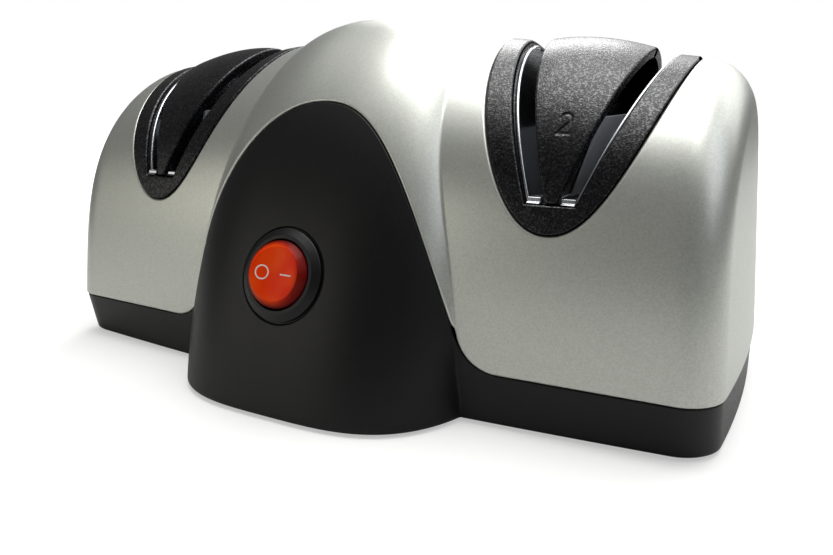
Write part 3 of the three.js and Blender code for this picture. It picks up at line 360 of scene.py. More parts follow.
# %% Plastics, rubber and stone
def grained(name, low, high, roughness, grain_mm, depth_mm, metallic=0.0):
    """A material with two close colours in an even grain, and a bump of the same grain."""
    material, tree, shader, place = new_finish(name, low, roughness, metallic)
    grain = add_node(tree, "TexNoise", Vector=place, Scale=per_metre(grain_mm), Detail=4.0)
    share = add_node(tree, "MapRange", Value=grain, From_Min=0.35, From_Max=0.65)
    tint = add_node(tree, "Mix", 2, RGBA, i0=share, i6=linear(low), i7=linear(high))
    gloss = add_node(tree, "MapRange", Value=grain, From_Min=0.3, From_Max=0.7,
                     To_Min=roughness - 0.05, To_Max=roughness + 0.05)
    relief = add_node(tree, "Bump", Height=grain, Distance=depth_mm * 0.001, Strength=0.6)
    feed(tree, shader, Base_Color=tint, Roughness=gloss, Normal=relief)
    return material


def red_lens():
    """Tinted polycarbonate. The dark red of its sides is painted shade, as they stand down in the
    flange's well where little light reaches; an attribute tells where, 0 on the side and 1 on the face."""
    material, tree, shader, place = new_finish("red_orange_polycarbonate", "#E2420A", 0.28,
                                               Specular_IOR_Level=0.08)
    painted_light_share = add_node(tree, "Attribute", "Fac", {"attribute_name": "painted_light_share"})
    cloud = add_node(tree, "TexNoise", Vector=place, Scale=per_metre(8), Detail=1.0)
    share = add_node(tree, "MapRange", Value=cloud, From_Min=0.35, From_Max=0.65)
    face = add_node(tree, "Mix", 2, RGBA, i0=share, i6=linear("#DC2C02"), i7=linear("#E24806"))
    # Painted shade: the sides get the dark red #5A0604, and the face keeps its own orange.
    tint = add_node(tree, "Mix", 2, RGBA, i0=painted_light_share, i6=linear("#5A0604"), i7=face)
    relief = add_node(tree, "Bump", Height=cloud, Distance=0.01 * 0.001, Strength=0.2)
    feed(tree, shader, Base_Color=tint, Normal=relief)
    return material


# %% All finishes
FINISH = {
    "silver_paint": silver_paint(),
    # An even grain of about 0.45 mm from a lightly etched mould softens the gloss of black ABS.
    "black_plastic": lined("black_ABS_satin_moulded", "#070708", 0.4, 0.45, (1, 1, 1), (-0.06, 0.08),
                           (0.03, 0.35), Specular_IOR_Level=0.3),
    "black_texture": black_sparkle(),
    "bright_steel": lined("steel_strip_bright_rolled", "#B4B7BB", 0.2, 0.3, (1, 0.06, 1), (-0.04, 0.04),
                          (0.001, 0.4), metallic=1.0),
    "grey_steel": grained("spring_steel_grey_blasted", "#BCC0C6", "#CACED4", 0.5, 0.3, 0.01, 0.2),
    "rubber": grained("rubber_matt_moulded", "#141415", "#1E1E20", 0.85, 0.5, 0.05),
    "red_plastic": red_lens(),
    "abrasive": grained("corundum_resin_bonded", "#6E4630", "#A6785A", 0.9, 0.35, 0.25),
    "brass": lined("brass_turned", "#C9A65C", 0.3, 0.4, (0.1, 1, 1), metallic=1.0),
    "iron": lined("steel_zinc_plated", "#8B8D90", 0.42, 0.5, (0.1, 1, 1), metallic=1.0),
    "copper": grained("copper_enamelled_winding", "#96552A", "#C27A45", 0.35, 0.5, 0.1, 1.0),
    "carbon": grained("carbon_pressed", "#1C1C1D", "#2C2C2E", 0.7, 0.3, 0.05),
    "magnet": grained("ferrite_sintered", "#2A2B30", "#3A3B41", 0.65, 0.4, 0.05),
    "pale_plastic": grained("nylon_natural_moulded", "#D6D5CE", "#E2E1DB", 0.5, 0.6, 0.03),
}
WHITE_INK = grained("white_pad_print", "#D8C4BE", "#E2D0CA", 0.5, 0.4, 0.01)
print("made", len(FINISH) + 1, "finishes")

# %% [markdown]
# ## The body's form
# The cover is a wing along the whole length and a dome across its middle. The wing's section is a
# superellipse over the crest, and the dome is a stack of superellipses in plan. Both are measured from
# one line along X at the seam's height, and a smooth maximum of the two distances leaves the soft
# valley that a mould has there.

# %% Wing and dome
def round_pull(past, radius):
    """How far a quarter round draws a line in, past the round's start."""
    past = np.clip(past, 0, radius)
    return radius - np.sqrt(radius * radius - past * past)


def crest_at(station):
    return CREST_HEIGHT - CREST_FALL * np.abs(station)


def half_depth_at(station):
    return HALF_DEPTH - DEPTH_TAPER * np.abs(station)


def edge_pull(height):
    """How far the lower edge of the base is rounded in at a height."""
    return round_pull(GROUND_CLEARANCE + SKIRT_EDGE - height, SKIRT_EDGE)


def drawn_in(station, pull, y):
    """The ends lean in and bow in plan, and the whole length follows evenly."""
    return station * (1 - (pull + y * y / (2 * END_BOW_RADIUS)) / HALF_LENGTH)


def wing_section(station, turn, inset):
    """Point of the wing at a station and a turn from 0 at the front foot to pi at the rear. The rise goes
    with sine to the power 2/n and the bow with cosine to the power 2/m. The side leans in by the draft."""
    corner, top, reach = PLAN_CORNER - inset, TOP_CORNER - inset, HALF_LENGTH - inset
    past = np.abs(station) - reach
    half = half_depth_at(station) - inset - round_pull(past + corner, corner)
    crest = crest_at(station) - inset - round_pull(past + top, top)
    rise = (crest - SEAM_HEIGHT) * np.maximum(np.sin(turn), 0) ** (2 / WALL_POWER)
    bow = np.abs(np.cos(turn)) ** (2 / CROWN_POWER)
    y = -np.sign(np.cos(turn)) * (half - FRONT_DRAFT * rise) * bow
    return np.stack([drawn_in(station, END_DRAFT * rise, y), y, SEAM_HEIGHT + rise], -1)


def dome_sizes(height, inset):
    """Half depth and half width of the dome's plan at a height."""
    share = np.clip(height / (DOME_HEIGHT - inset), 0, 1)
    (p, q), (v, w) = DOME_DEPTH_POWERS, DOME_WIDTH_POWERS
    depth = (DOME_HALF_DEPTH - inset) * (1 - share ** p) ** q
    width = (DOME_HALF_WIDTH - inset) * (1 - share ** v) ** w
    return depth, width


def in_dome(x, y, z, inset):
    """Whether a point lies in the dome: |x/width|^n + |y/depth|^n is below 1."""
    depth, width = dome_sizes(z, inset)
    depth = depth * np.where(y > 0, 1 + DOME_REAR_GAIN * (z / DOME_HEIGHT) ** 2, 1)
    shares = np.abs(x) / np.maximum(width, 1e-6), np.abs(y) / np.maximum(depth, 1e-6)
    return (shares[0] ** DOME_PLAN_POWER + shares[1] ** DOME_PLAN_POWER < 1) & (z < DOME_HEIGHT - inset)


def dome_reach(x, across, up, inset):
    """Distance from the line at the seam's height to the dome's skin, by halving an interval."""
    low, high = np.zeros_like(x), np.full_like(x, 2 * DOME_HEIGHT)
    for _ in range(40):
        middle = (low + high) / 2
        inside = in_dome(x, middle * across, SEAM_HEIGHT + middle * up, inset)
        low, high = np.where(inside, middle, low), np.where(inside, high, middle)
    return low


VALLEY = 0.3


def smooth_maximum(first, second):
    """The larger of two values, with a soft valley where they are nearly equal."""
    near = np.clip(1 - np.abs(first - second) / VALLEY, 0, 1)
    return np.maximum(first, second) + near * near * VALLEY / 4


def body_skin(station, turn, inset):
    """The wing's point, moved out along its ray to the dome if that is further out."""
    point = wing_section(station, turn, inset)
    across, up = point[..., 1], point[..., 2] - SEAM_HEIGHT
    reach = np.hypot(across, up)
    across, up = across / np.maximum(reach, 1e-9), up / np.maximum(reach, 1e-9)
    reach = smooth_maximum(reach, dome_reach(point[..., 0], across, up, inset))
    return np.stack([point[..., 0], reach * across, SEAM_HEIGHT + reach * up], -1)


def skirt_skin(station, height, face, inset):
    """Point of the body below the seam, on the front (face -1) or the rear (face 1)."""
    corner, reach = PLAN_CORNER - inset, HALF_LENGTH - inset
    half = half_depth_at(station) - inset - round_pull(np.abs(station) - reach + corner, corner)
    drop = (SEAM_HEIGHT - height) / (SEAM_HEIGHT - GROUND_CLEARANCE)
    half = half - SKIRT_TAPER * drop * (station / HALF_LENGTH) ** 2 - edge_pull(height)
    x = drawn_in(station, edge_pull(height), half)
    depth, width = dome_sizes(height, inset)
    depth, width = depth - edge_pull(height), width - edge_pull(height)
    side = np.clip(1 - (np.abs(x) / width) ** DOME_PLAN_POWER, 0, 1) ** (1 / DOME_PLAN_POWER)
    gain = 1 + DOME_REAR_GAIN * (height / DOME_HEIGHT) ** 2 if face > 0 else 1
    y = smooth_maximum(half, depth * gain * side)
    return np.stack([x, face * y, height + 0 * x], -1)


def end_skin(ring, pull, station):
    """Fills the bowed end between a front line and its mirror image at the rear."""
    y = np.linspace(-1, 1, 61)[:, None] * np.abs(ring[None, :, 1])
    return np.stack([drawn_in(station, pull[None, :], y), y, 0 * y + ring[None, :, 2]], -1)


# %% Where the grids' lines run
CREASE_RANGE = (24, 54)
SECTION_TURNS = 241
PANEL_TURNS = 100


def even_turns(count, station=60.0):
    """Turns at equal steps along the wing's section."""
    turn = np.linspace(0, np.pi, 20001)
    line = wing_section(np.full_like(turn, station), turn, 0)[:, 1:]
    run = np.concatenate([[0], np.cumsum(np.hypot(*np.diff(line, axis=0).T))])
    return np.interp(np.linspace(0, run[-1], count), run, turn)


def stations_along(coarse, fine, inset):
    """Stations from end to end: fine at the dome's crease, and by angle in the rounded ends."""
    start, top = HALF_LENGTH - TOP_CORNER, TOP_CORNER - inset
    low, high = CREASE_RANGE
    arc = start + top * np.sin(np.linspace(0, np.pi / 2, 15)[1:])
    outer = np.linspace(high, start, round((start - high) / coarse))
    right = np.concatenate([np.arange(0, low, coarse), np.arange(low, high, fine), outer, arc])
    return np.concatenate([-right[:0:-1], right])


# %% [markdown]
# ## Outlines of the openings
# The panel's arch and the U of each stage are cut through along Y, so each is one closed outline. A cut
# where the signed distance to it equals the rim's radius leaves room for a rounded edge.

# %% Outlines and distances
def stroke_distance(start, end, x, z):
    """Distance from each point (x, z) to a straight stroke."""
    along, rise = end[0] - start[0], end[1] - start[1]
    across, up = x - start[0], z - start[1]
    share = np.clip((across * along + up * rise) / max(along * along + rise * rise, 1e-12), 0, 1)
    return np.hypot(across - share * along, up - share * rise)


def signed_distance(outline, x, z):
    """Distance from each point (x, z) to the closed outline, positive inside."""
    nearest, inside = np.full(x.shape, np.inf), np.zeros(x.shape, bool)
    for start, end in zip(outline, np.roll(outline, -1, 0)):
        nearest = np.minimum(nearest, stroke_distance(start, end, x, z))
        (x0, z0), (x1, z1) = start, end
        if z0 != z1:
            inside ^= ((z0 > z) != (z1 > z)) & (x < x0 + (z - z0) / (z1 - z0) * (x1 - x0))
    return np.where(inside, nearest, -nearest)


def skin_distance(outline, points, normals, step=0.05):
    """Distance to an outline along the skin: the flat distance over its rate of change there."""
    x, _, z = points.T
    flat = signed_distance(outline, x, z)
    slope_x = (signed_distance(outline, x + step, z) - flat) / step
    slope_z = (signed_distance(outline, x, z + step) - flat) / step
    across = slope_x * normals[:, 0] + slope_z * normals[:, 2]
    return flat / np.sqrt(np.maximum(1 - across ** 2, 0.04))


def arch_outline(inset):
    """The panel's arch, with fillets that run out along the seam."""
    half, top, fillet = ARCH_HALF_WIDTH - inset, ARCH_HEIGHT - inset, ARCH_FILLET + inset
    start = SEAM_HEIGHT + fillet * (1 - np.sin(ARCH_LEAN))
    height = start + (top - start) * np.sin(np.linspace(0, np.pi / 2, 60))
    rise = (height - SEAM_HEIGHT) / (top - SEAM_HEIGHT)
    side = half * np.maximum(0, 1 - rise ** ARCH_RISE_POWER) ** ARCH_WIDTH_POWER
    centre = side[0] + fillet * np.cos(ARCH_LEAN)
    angle = np.linspace(np.pi / 2, ARCH_LEAN, 16)[:-1]
    foot = np.stack([centre - fillet * np.cos(angle), SEAM_HEIGHT + fillet * (1 - np.sin(angle))], -1)
    right = np.concatenate([[[centre, SEAM_HEIGHT - 40]], foot, np.stack([side, height], -1)])
    return np.concatenate([right, right[-2::-1] * [-1, 1]])


def stage_outline(middle, growth):
    """The U of a stage: its height goes with the square of the share of its width."""
    share = np.linspace(-1.3, 1.3, 121)
    out = np.sign(share) * (STAGE_HALF_WIDTH + growth) * np.abs(share) ** STAGE_POWER
    tip = STAGE_TIP - growth
    height = tip + (crest_at(STAGE_OFFSET) - tip) * share * share
    return np.stack([middle + out, height], -1)


def leaning(offset, lean, height):
    """Distance from a stage's middle at which a leaning line stands at a height."""
    return offset + (height - SLOT_BOTTOM) * np.tan(lean)


def wedge_outline(middle, offset, lean, low=SLOT_BOTTOM, high=130.0):
    """Wedge between two lines that lean outward from a stage's middle."""
    out = leaning(offset, lean, np.array([low, low, high, high])) * [-1, 1, 1, -1]
    return np.stack([middle + out, [low, low, high, high]], -1)


# %% [markdown]
# ## The silver cover
# The cover is one moulding whose edges stand a hair proud of the black parts. It is cut at once: the
# smallest of all signed distances says how far a point is from any edge.

# %% Cover
EDGE_ROUND = 0.5
STAGE_EDGE_ROUND = 0.9


def upper_grids():
    """Grids over the body above the seam: the long skin and its two ends."""
    stations = stations_along(1.0, 0.28, 0)
    station, turn = np.meshgrid(stations, even_turns(SECTION_TURNS), indexing="ij")
    main = body_skin(station, turn, 0)
    front = main[:, : SECTION_TURNS // 2 + 1]
    ends = [end_skin(front[k], END_DRAFT * (front[k, :, 2] - SEAM_HEIGHT), stations[k]) for k in (0, -1)]
    return main, ends[0][::-1], ends[1]


def cover_value(points, normals):
    """How far a point lies from the nearest edge of the cover."""
    x, z = points[:, 0], points[:, 2]
    value = np.minimum(z - SEAM_HEIGHT, -skin_distance(arch_outline(0), points, normals))
    for middle in STAGE_MIDDLES.values():
        value = np.minimum(value, -signed_distance(stage_outline(middle, 0), x, z))
    return value


def cover_radius(points):
    """Radius of the cover's edge: larger round the stages, where it catches the light."""
    near = np.abs(np.abs(points[:, 0]) - STAGE_OFFSET) < STAGE_HALF_WIDTH + 2
    return np.where(near & (points[:, 2] > STAGE_TIP - 2), STAGE_EDGE_ROUND, EDGE_ROUND)


skin = skin_of(*upper_grids())
value = cover_value(skin[0], skin[2]) - cover_radius(skin[0])
cover = cut_part(skin, value, lambda points: rounded_edge(cover_radius(points), WALL))
new_piece("cover_shell", cover, "silver_paint", "top_cover")

# %% [markdown]
# ## The black base with its panels
# The base is one moulding with its panels, so it is one skin: skirt, ends, panels and floor share
# their border points. One signed value cuts the top edge, the switch's seat and all holes.

# %% Base
SWITCH_HEIGHT = 38.1
SWITCH_SEAT_DEPTH = 0.6
BEZEL_RADIUS = 12.7
SEAT_MARGIN = 0.5
FOOT_PLACES = [(sx * 0.751 * HALF_LENGTH, sy * 28) for sx in (-1, 1) for sy in (-1, 1)]
FOOT_RADIUS = 6
SCREW_PLACES = [(sx * 0.877 * HALF_LENGTH, sy * 32) for sx in (-1, 1) for sy in (-1, 1)]
SCREW_HEAD_RADIUS = 3
VENTS = [side * offset for side in (-1, 1) for offset in (32, 37, 42, 47, 52)]
VENT_HALF = (1.2, 18)
FLOOR_PLAIN = 0.22

depth_below, depth_above = (dome_sizes(SWITCH_HEIGHT + step, 0.0)[0] for step in (-1, 1))
SWITCH_LEAN = np.arctan2(depth_below - depth_above, 2)
SEAT_OUT = np.array([0, -np.cos(SWITCH_LEAN), np.sin(SWITCH_LEAN)])
SEAT_UP = np.array([0, np.sin(SWITCH_LEAN), np.cos(SWITCH_LEAN)])
SEAT = np.array([0, -dome_sizes(SWITCH_HEIGHT, REVEAL_STEP)[0], SWITCH_HEIGHT])
SEAT = SEAT - SWITCH_SEAT_DEPTH * SEAT_OUT


def at_seat(points):
    """Points of the switch's frame (Y up the panel, Z out of it) in the machine's."""
    return SEAT + points[..., :1] * [1, 0, 0] + points[..., 1:2] * SEAT_UP + points[..., 2:] * SEAT_OUT


def base_grids():
    """Grids over the skirt with its panels, the two ends, and the floor."""
    stations = stations_along(1.2, 0.35, REVEAL_STEP)
    edge = GROUND_CLEARANCE + SKIRT_EDGE * (1 - np.cos(np.linspace(0, np.pi / 2, 6)))
    heights = np.concatenate([edge, np.linspace(edge[-1], SEAM_HEIGHT, 16)[1:]])
    turns = even_turns(SECTION_TURNS)[1:PANEL_TURNS]
    station, height = np.meshgrid(stations, heights, indexing="ij")
    station_up, turn = np.meshgrid(stations, turns, indexing="ij")
    sides = []
    for face in (-1, 1):
        upper = body_skin(station_up, turn if face < 0 else np.pi - turn, REVEAL_STEP)
        sides.append(np.concatenate([skirt_skin(station, height, face, REVEAL_STEP), upper], 1))
    low = sides[0][:, : len(heights)]
    ends = [end_skin(low[k], edge_pull(heights), stations[k]) for k in (0, -1)]
    loop = np.concatenate([sides[0][:, 0], ends[1][1:-1, 0], sides[1][::-1, 0], ends[0][-2::-1, 0]])
    share = np.concatenate([[0], np.linspace(FLOOR_PLAIN, 1, 62)])[None, :, None]
    floor = share * (loop[:, None] * [1, 1, 0]) + [0, 0, GROUND_CLEARANCE]
    return sides[0], sides[1][::-1], ends[0][::-1], ends[1], floor


def floor_value(x, y):
    """How far a point of the floor lies from the nearest hole."""
    value = np.full(x.shape, 50.0)
    for places, radius in ((FOOT_PLACES, FOOT_RADIUS), (SCREW_PLACES, SCREW_HEAD_RADIUS)):
        for place_x, place_y in places:
            value = np.minimum(value, np.hypot(x - place_x, y - place_y) - radius - GAP)
    for offset in VENTS:
        beside, beyond = np.abs(x - offset) - VENT_HALF[0], np.abs(y) - VENT_HALF[1]
        outside = np.hypot(np.maximum(beside, 0), np.maximum(beyond, 0))
        value = np.minimum(value, np.where(outside > 0, outside, np.maximum(beside, beyond)))
    return value


def base_value(points, normals):
    """How far a point lies from the base's top, the switch's seat or a hole."""
    x, y, z = points.T
    value = np.maximum(SEAM_HEIGHT - GAP - z, skin_distance(arch_outline(ARCH_GAP), points, normals))
    from_seat = np.hypot(x, (points - SEAT) @ SEAT_UP) - BEZEL_RADIUS - SEAT_MARGIN
    value = np.where(y < -40, np.minimum(value, from_seat), value)
    return np.where(z < GROUND_CLEARANCE + 1e-6, floor_value(x, y), value)


def turned_profile(profile, columns=96):
    """A profile of (radius, height) carried round Z by the cosine and sine of the turn."""
    turn = np.linspace(0, 2 * np.pi, columns + 1)[:, None]
    radius, height = np.array(profile, float).T
    return np.stack([radius * np.cos(turn), radius * np.sin(turn), height + 0 * turn], -1)


def rounded_profile(corners, steps=6):
    """A line through (radius, height, fillet) corners. Each arc starts at the fillet over the tangent of
    half the corner's angle from the corner."""
    corners = [np.array(corner, float) for corner in corners]
    line = [corners[0][:2]]
    for before, corner, after in zip(corners[:-2], corners[1:-1], corners[2:]):
        if corner[2] == 0:
            line.append(corner[:2])
            continue
        to_before, to_after = unit(before[:2] - corner[:2]), unit(after[:2] - corner[:2])
        half = np.arccos(np.clip(to_before @ to_after, -1, 1)) / 2
        centre = corner[:2] + unit(to_before + to_after) * corner[2] / np.sin(half)
        start = corner[:2] + to_before * corner[2] / np.tan(half) - centre
        end = corner[:2] + to_after * corner[2] / np.tan(half) - centre
        share = np.linspace(0, 1, steps + 1)[:, None]
        sweep = np.arccos(np.clip(unit(start) @ unit(end), -1, 1))
        arc = (np.sin((1 - share) * sweep) * start + np.sin(share * sweep) * end) / np.sin(sweep)
        line.extend(centre + arc)
    line.append(corners[-1][:2])
    return np.array(line)


def whole(*grids):
    """Uncut grids as (points, normals, faces). A cell with two equal corners is a triangle."""
    points, quads, normals = skin_of(*grids)
    equal = quads == np.roll(quads, -1, 1)
    poles = quads[equal.sum(1) == 1]
    triangles = poles[~equal[equal.sum(1) == 1]].reshape(-1, 3)
    return points, normals, [quads[~equal.any(1)], triangles]


skin = skin_of(*base_grids())
base = cut_part(skin, base_value(skin[0], skin[2]) - EDGE_ROUND, rounded_edge(EDGE_ROUND, WALL))
seat_radius = BEZEL_RADIUS + SEAT_MARGIN
seat_line = rounded_profile([(seat_radius, -2.5, 0), (seat_radius, 0, 0.3), (10.8, 0, 0.3), (10.8, -6, 0)])
seat_ring = whole(at_seat(turned_profile(seat_line)))
new_piece("base_shell", joined(base, seat_ring), "black_plastic", "base_housing")

# %% [markdown]
# ## Slot stages
# Each stage is a U-shaped frame and a saddle block with a slot on both sides. The frame stands proud
# of the wing, and the block swells towards its top. The walls of a slot are leaning planes, cut where
# they meet the skin and the round space of the wheels.

# %% Frames and slot walls
FRAME_OUTER_ROUND = 0.35
FRAME_SLOT_ROUND = 0.7
WALL_INSET = 0.7


def wing_limit(x, z, inset):
    """Half depth of the wing: the section's formula solved for y."""
    rise = z - SEAM_HEIGHT
    crest = crest_at(x) - inset - SEAM_HEIGHT
    share = np.clip(rise / crest, 0, 1)
    foot = half_depth_at(x) - inset - FRONT_DRAFT * rise
    return foot * (1 - share ** WALL_POWER) ** (1 / CROWN_POWER)


def in_wing(points, inset):
    """How deep a point lies under the wing's skin, the lesser of Y and Z."""
    x, y, z = points.T
    below = crest_at(x) - inset - z
    return np.minimum(wing_limit(x, z, inset) - np.abs(y), below)


def from_wheels(points):
    """How far a point lies from the round space of the wheels."""
    return np.hypot(points[:, 1], points[:, 2] - SHAFT_HEIGHT) - WHEEL_WELL_RADIUS


def wall_grid(middle, hand, offset, lean, low, high=CREST_HEIGHT, half_depth=50.0):
    """A plane that leans with a slot's wall, as a grid that faces the stage's middle."""
    y, z = np.meshgrid(np.linspace(-half_depth, half_depth, 120), np.linspace(low, high, 60), indexing="ij")
    grid = np.stack([middle + hand * leaning(offset, lean, z), y, z], -1)
    return grid[::-1] if hand > 0 else grid


def stage_turns(count):
    """Turns at equal steps along a stage's middle line, and their heights."""
    turns = even_turns(count, STAGE_OFFSET)
    return turns, wing_section(np.full_like(turns, STAGE_OFFSET), turns, 0)[:, 2]


def stage_grid(middle, half_width, columns, rows, low, point_of):
    """Grid over one stage, from the front over the top to the rear."""
    turns, height = stage_turns(rows)
    out = np.linspace(-half_width, half_width, columns)
    station, turn = np.meshgrid(middle + out, turns[height > low], indexing="ij")
    return point_of(station, turn)


def frame_distances(points, middle):
    """How far a point lies inside the frame's outline, and how far from its slots."""
    x, z = points[:, 0], points[:, 2]
    inside = signed_distance(stage_outline(middle, -GAP), x, z)
    return inside, -signed_distance(wedge_outline(middle, SLOT_OUTER, OUTER_LEAN), x, z)


def frame_radius(points, middle):
    """Radius of the frame's rounded edge: small along its outline and larger along the slots."""
    inside, off_slots = frame_distances(points, middle)
    return np.where(inside < off_slots, FRAME_OUTER_ROUND, FRAME_SLOT_ROUND)


def frame_part(middle):
    """The frame's skin with its rolled edges, the outer walls of its slots, and their floor."""
    skin = skin_of(stage_grid(middle, half_width=31, columns=150, rows=330, low=44,
                              point_of=lambda s, t: wing_section(s, t, -FRAME_PROUD)))
    value = np.minimum(*frame_distances(skin[0], middle)) - frame_radius(skin[0], middle)
    parts = [cut_part(skin, value, lambda points: rounded_edge(frame_radius(points, middle), 2.0))]
    x, y = np.meshgrid(np.linspace(-SLOT_OUTER, SLOT_OUTER, 12), np.linspace(-50, 50, 120), indexing="ij")
    grids = [wall_grid(middle, hand, SLOT_OUTER, OUTER_LEAN, SLOT_BOTTOM) for hand in (-1, 1)]
    for grid in [*grids, np.stack([middle + x, y, SLOT_BOTTOM + 0 * x], -1)]:
        wall = skin_of(grid)
        parts.append(cut_part(wall, np.minimum(in_wing(wall[0], WALL_INSET), from_wheels(wall[0]))))
    return joined(*parts)


for number, middle in STAGE_MIDDLES.items():
    new_piece(f"stage_{number}_frame", frame_part(middle), "black_texture", f"guide_frame_{number}")


# %% Numbers sunk in the blocks
DIGIT_HEIGHT = 4.7
DIGIT_STROKE = 0.24
DIGIT_SLOPE = 0.24
DIGIT_DEPTH = 0.3
DIGIT_PLACE = 78.0


def digit_line(number):
    """Centre line of a digit as points (x, z), drawn from one arc and straight strokes."""
    top = DIGIT_HEIGHT / 2
    if number == 1:
        return np.array([[-1.0, top - 1.1], [0.3, top], [0.3, -top]])
    angle = np.radians(np.linspace(170, -35, 24))
    bow = np.stack([1.35 * np.cos(angle), top - 1.25 + 1.25 * np.sin(angle)], -1)
    return np.concatenate([bow, [[-1.55, -top], [1.6, -top]]])


def from_line(line, x, z):
    """Distance from each point to an open line of straight strokes."""
    return np.min([stroke_distance(start, end, x, z) for start, end in zip(line[:-1], line[1:])], 0)


# %% Blocks
INNER_PLATE = (SLOT_INNER - GAP, 0.5)
BLOCK_WEB = INNER_PLATE[0] - INNER_PLATE[1] - GAP
BLOCK_ROUND = 0.6
HOLLOW_START = 78.8


def block_skin(station, turn, middle, number):
    """The wing's section pushed away from the slot's foot by the crown, which falls towards the edges,
    times the square of the height. The number is a groove."""
    out = station - middle
    point = wing_section(middle + BLOCK_SLOPE_SHARE * out, turn, 0.0)
    point = point + ((1 - BLOCK_SLOPE_SHARE) * out)[..., None] * [1, 0, 0]
    share = out / leaning(SLOT_INNER, INNER_LEAN, CREST_HEIGHT)
    crown = BLOCK_CROWN * np.maximum(0, 1 - BLOCK_CROWN_FALL * share ** 2)
    rise = np.maximum(0, point[..., 2] - SLOT_BOTTOM) / (CREST_HEIGHT - SLOT_BOTTOM)
    away = unit(point * [0, 1, 1] - [0, 0, SLOT_BOTTOM])
    point = point + away * (crown * rise ** 2)[..., None]
    line = from_line(digit_line(number), point[..., 0] - middle, point[..., 2] - DIGIT_PLACE)
    groove = np.clip((DIGIT_STROKE + DIGIT_SLOPE / 2 - line) / DIGIT_SLOPE, 0, 1) * (point[..., 1] < 0)
    return point + (DIGIT_DEPTH * groove)[..., None] * [0, 1, 0]


def web_grid(number, middle, hand):
    """Inner wall of a slot: lines that fan out from its foot to the shell's underside."""
    turns, height = stage_turns(300)
    turns, height = turns[height > SLOT_BOTTOM + 1], height[height > SLOT_BOTTOM + 1]
    station = middle + hand * leaning(BLOCK_WEB, INNER_LEAN, height)
    rim = block_skin(station, turns, middle, number)
    foot = np.array([0, 0, SLOT_BOTTOM + GAP])
    rim = rim - (BLOCK_SHELL - 0.1) * unit((rim - foot) * [0, 1, 1])
    grid = foot + np.linspace(0, 1, 40)[:, None, None] * (rim - foot)
    grid[..., 0] = middle + hand * leaning(BLOCK_WEB, INNER_LEAN, grid[..., 2])
    return grid[::-1] if hand > 0 else grid


def block_part(number, middle):
    """The block's skin with its edge, and the inner walls of its slots. They end just under the top of
    the grey plates, which leaves a dark hollow with a rib along its middle."""
    skin = skin_of(stage_grid(middle, half_width=18, columns=124, rows=700, low=57,
                              point_of=lambda s, t: block_skin(s, t, middle, number)))
    outline = wedge_outline(middle, SLOT_INNER, INNER_LEAN, SLOT_BOTTOM + GAP)
    value = signed_distance(outline, skin[0][:, 0], skin[0][:, 2]) - BLOCK_ROUND
    under = [(BLOCK_ROUND - 0.02, BLOCK_SHELL, 180), (-1.8, BLOCK_SHELL, 180)]
    parts = [cut_part(skin, value, rounded_edge(BLOCK_ROUND, BLOCK_SHELL) + under)]
    for hand in (-1, 1):
        web = skin_of(web_grid(number, middle, hand))
        parts.append(cut_part(web, np.minimum(from_wheels(web[0]), HOLLOW_START - web[0][:, 2])))
    rib = skin_of(web_grid(number, middle, 0))
    parts.append(cut_part(rib, rib[0][:, 2] - HOLLOW_START + 4))
    return joined(*parts)


for number, middle in STAGE_MIDDLES.items():
    new_piece(f"stage_{number}_block", block_part(number, middle), "black_texture", f"guide_block_{number}")

# %% [markdown]
# ## Steel in the slots
# A blade leans on a bright plate on the outer wall, and a grey plate is fixed on the block. The bright
# one's edge is curled to a bead, which draws a thin light line beside the dark slot, and at the foot
# it ends in a small folded tab that glints too.

# %% Plates
BEAD_RADIUS = 0.5
BEAD_LIFT = -0.05
PLATE_INSET = 0.5
PLATE_RECESS = 2.4
PLATE_FOOT = 5
PLATE_FOOT_WIDTH = 3.2
GREY_TOP = SLOT_BOTTOM + 20.5
GREY_HALF_DEPTH = 30
GREY_ROUND = 0.1


def bright_part(middle, hand):
    """The bright sheet with its beaded edge: the bead's profile is an arc that starts on the face."""
    offset = SLOT_OUTER - PLATE_INSET
    skin = skin_of(wall_grid(middle, hand, offset, OUTER_LEAN, SLOT_BOTTOM + GAP))
    value = np.minimum(in_wing(skin[0], PLATE_RECESS), from_wheels(skin[0]))
    profile = [(BEAD_RADIUS * (1 + np.cos(a)), -BEAD_LIFT - BEAD_RADIUS * np.sin(a), 90 - np.degrees(a))
               for a in np.radians(np.linspace(195, -60, 15))]
    return cut_part(skin, value, profile)


def grey_part(middle, hand):
    """The grey sheet, cut to its outline, with a rolled edge of its own thickness."""
    offset, thickness = INNER_PLATE
    grid = wall_grid(middle, hand, offset, INNER_LEAN, SLOT_BOTTOM + GAP, GREY_TOP, GREY_HALF_DEPTH)
    skin = skin_of(grid[::-1])
    points = skin[0]
    value = np.min([in_wing(points, BLOCK_SHELL + GAP), from_wheels(points), GREY_TOP - points[:, 2],
                    GREY_HALF_DEPTH - np.abs(points[:, 1])], 0)
    return cut_part(skin, value - GREY_ROUND, rounded_edge(GREY_ROUND, thickness))


def tab_part(middle, hand, face):
    """Foot of the bright plate: a strip that lies in the slot and folds down over its front edge."""
    far = SLOT_OUTER - 0.3
    front = wing_limit(STAGE_OFFSET, SLOT_BOTTOM, 1.3)
    line = rounded_profile([(-0.9, 0.15, 0), (-0.5, 0.4, 0.2), (-0.1, 0.4, 0.3), (0.1, 1.5, 0.35),
                            (PLATE_FOOT, 1.5, 0)], 5)
    x, along = np.meshgrid(np.linspace(far - PLATE_FOOT_WIDTH, far, 6), line[:, 0], indexing="ij")
    height = SLOT_BOTTOM + np.broadcast_to(line[:, 1], x.shape)
    grid = np.stack([middle + hand * x, face * (front - along), height], -1)
    ends = [np.stack([end, end * [1, 1, 0] + [0, 0, SLOT_BOTTOM + 0.1]], 0) for end in (grid[0], grid[-1])]
    grids = [grid, ends[0][::-1], ends[1]]
    return joined(*[whole(g[::-1] if hand * face > 0 else g) for g in grids])


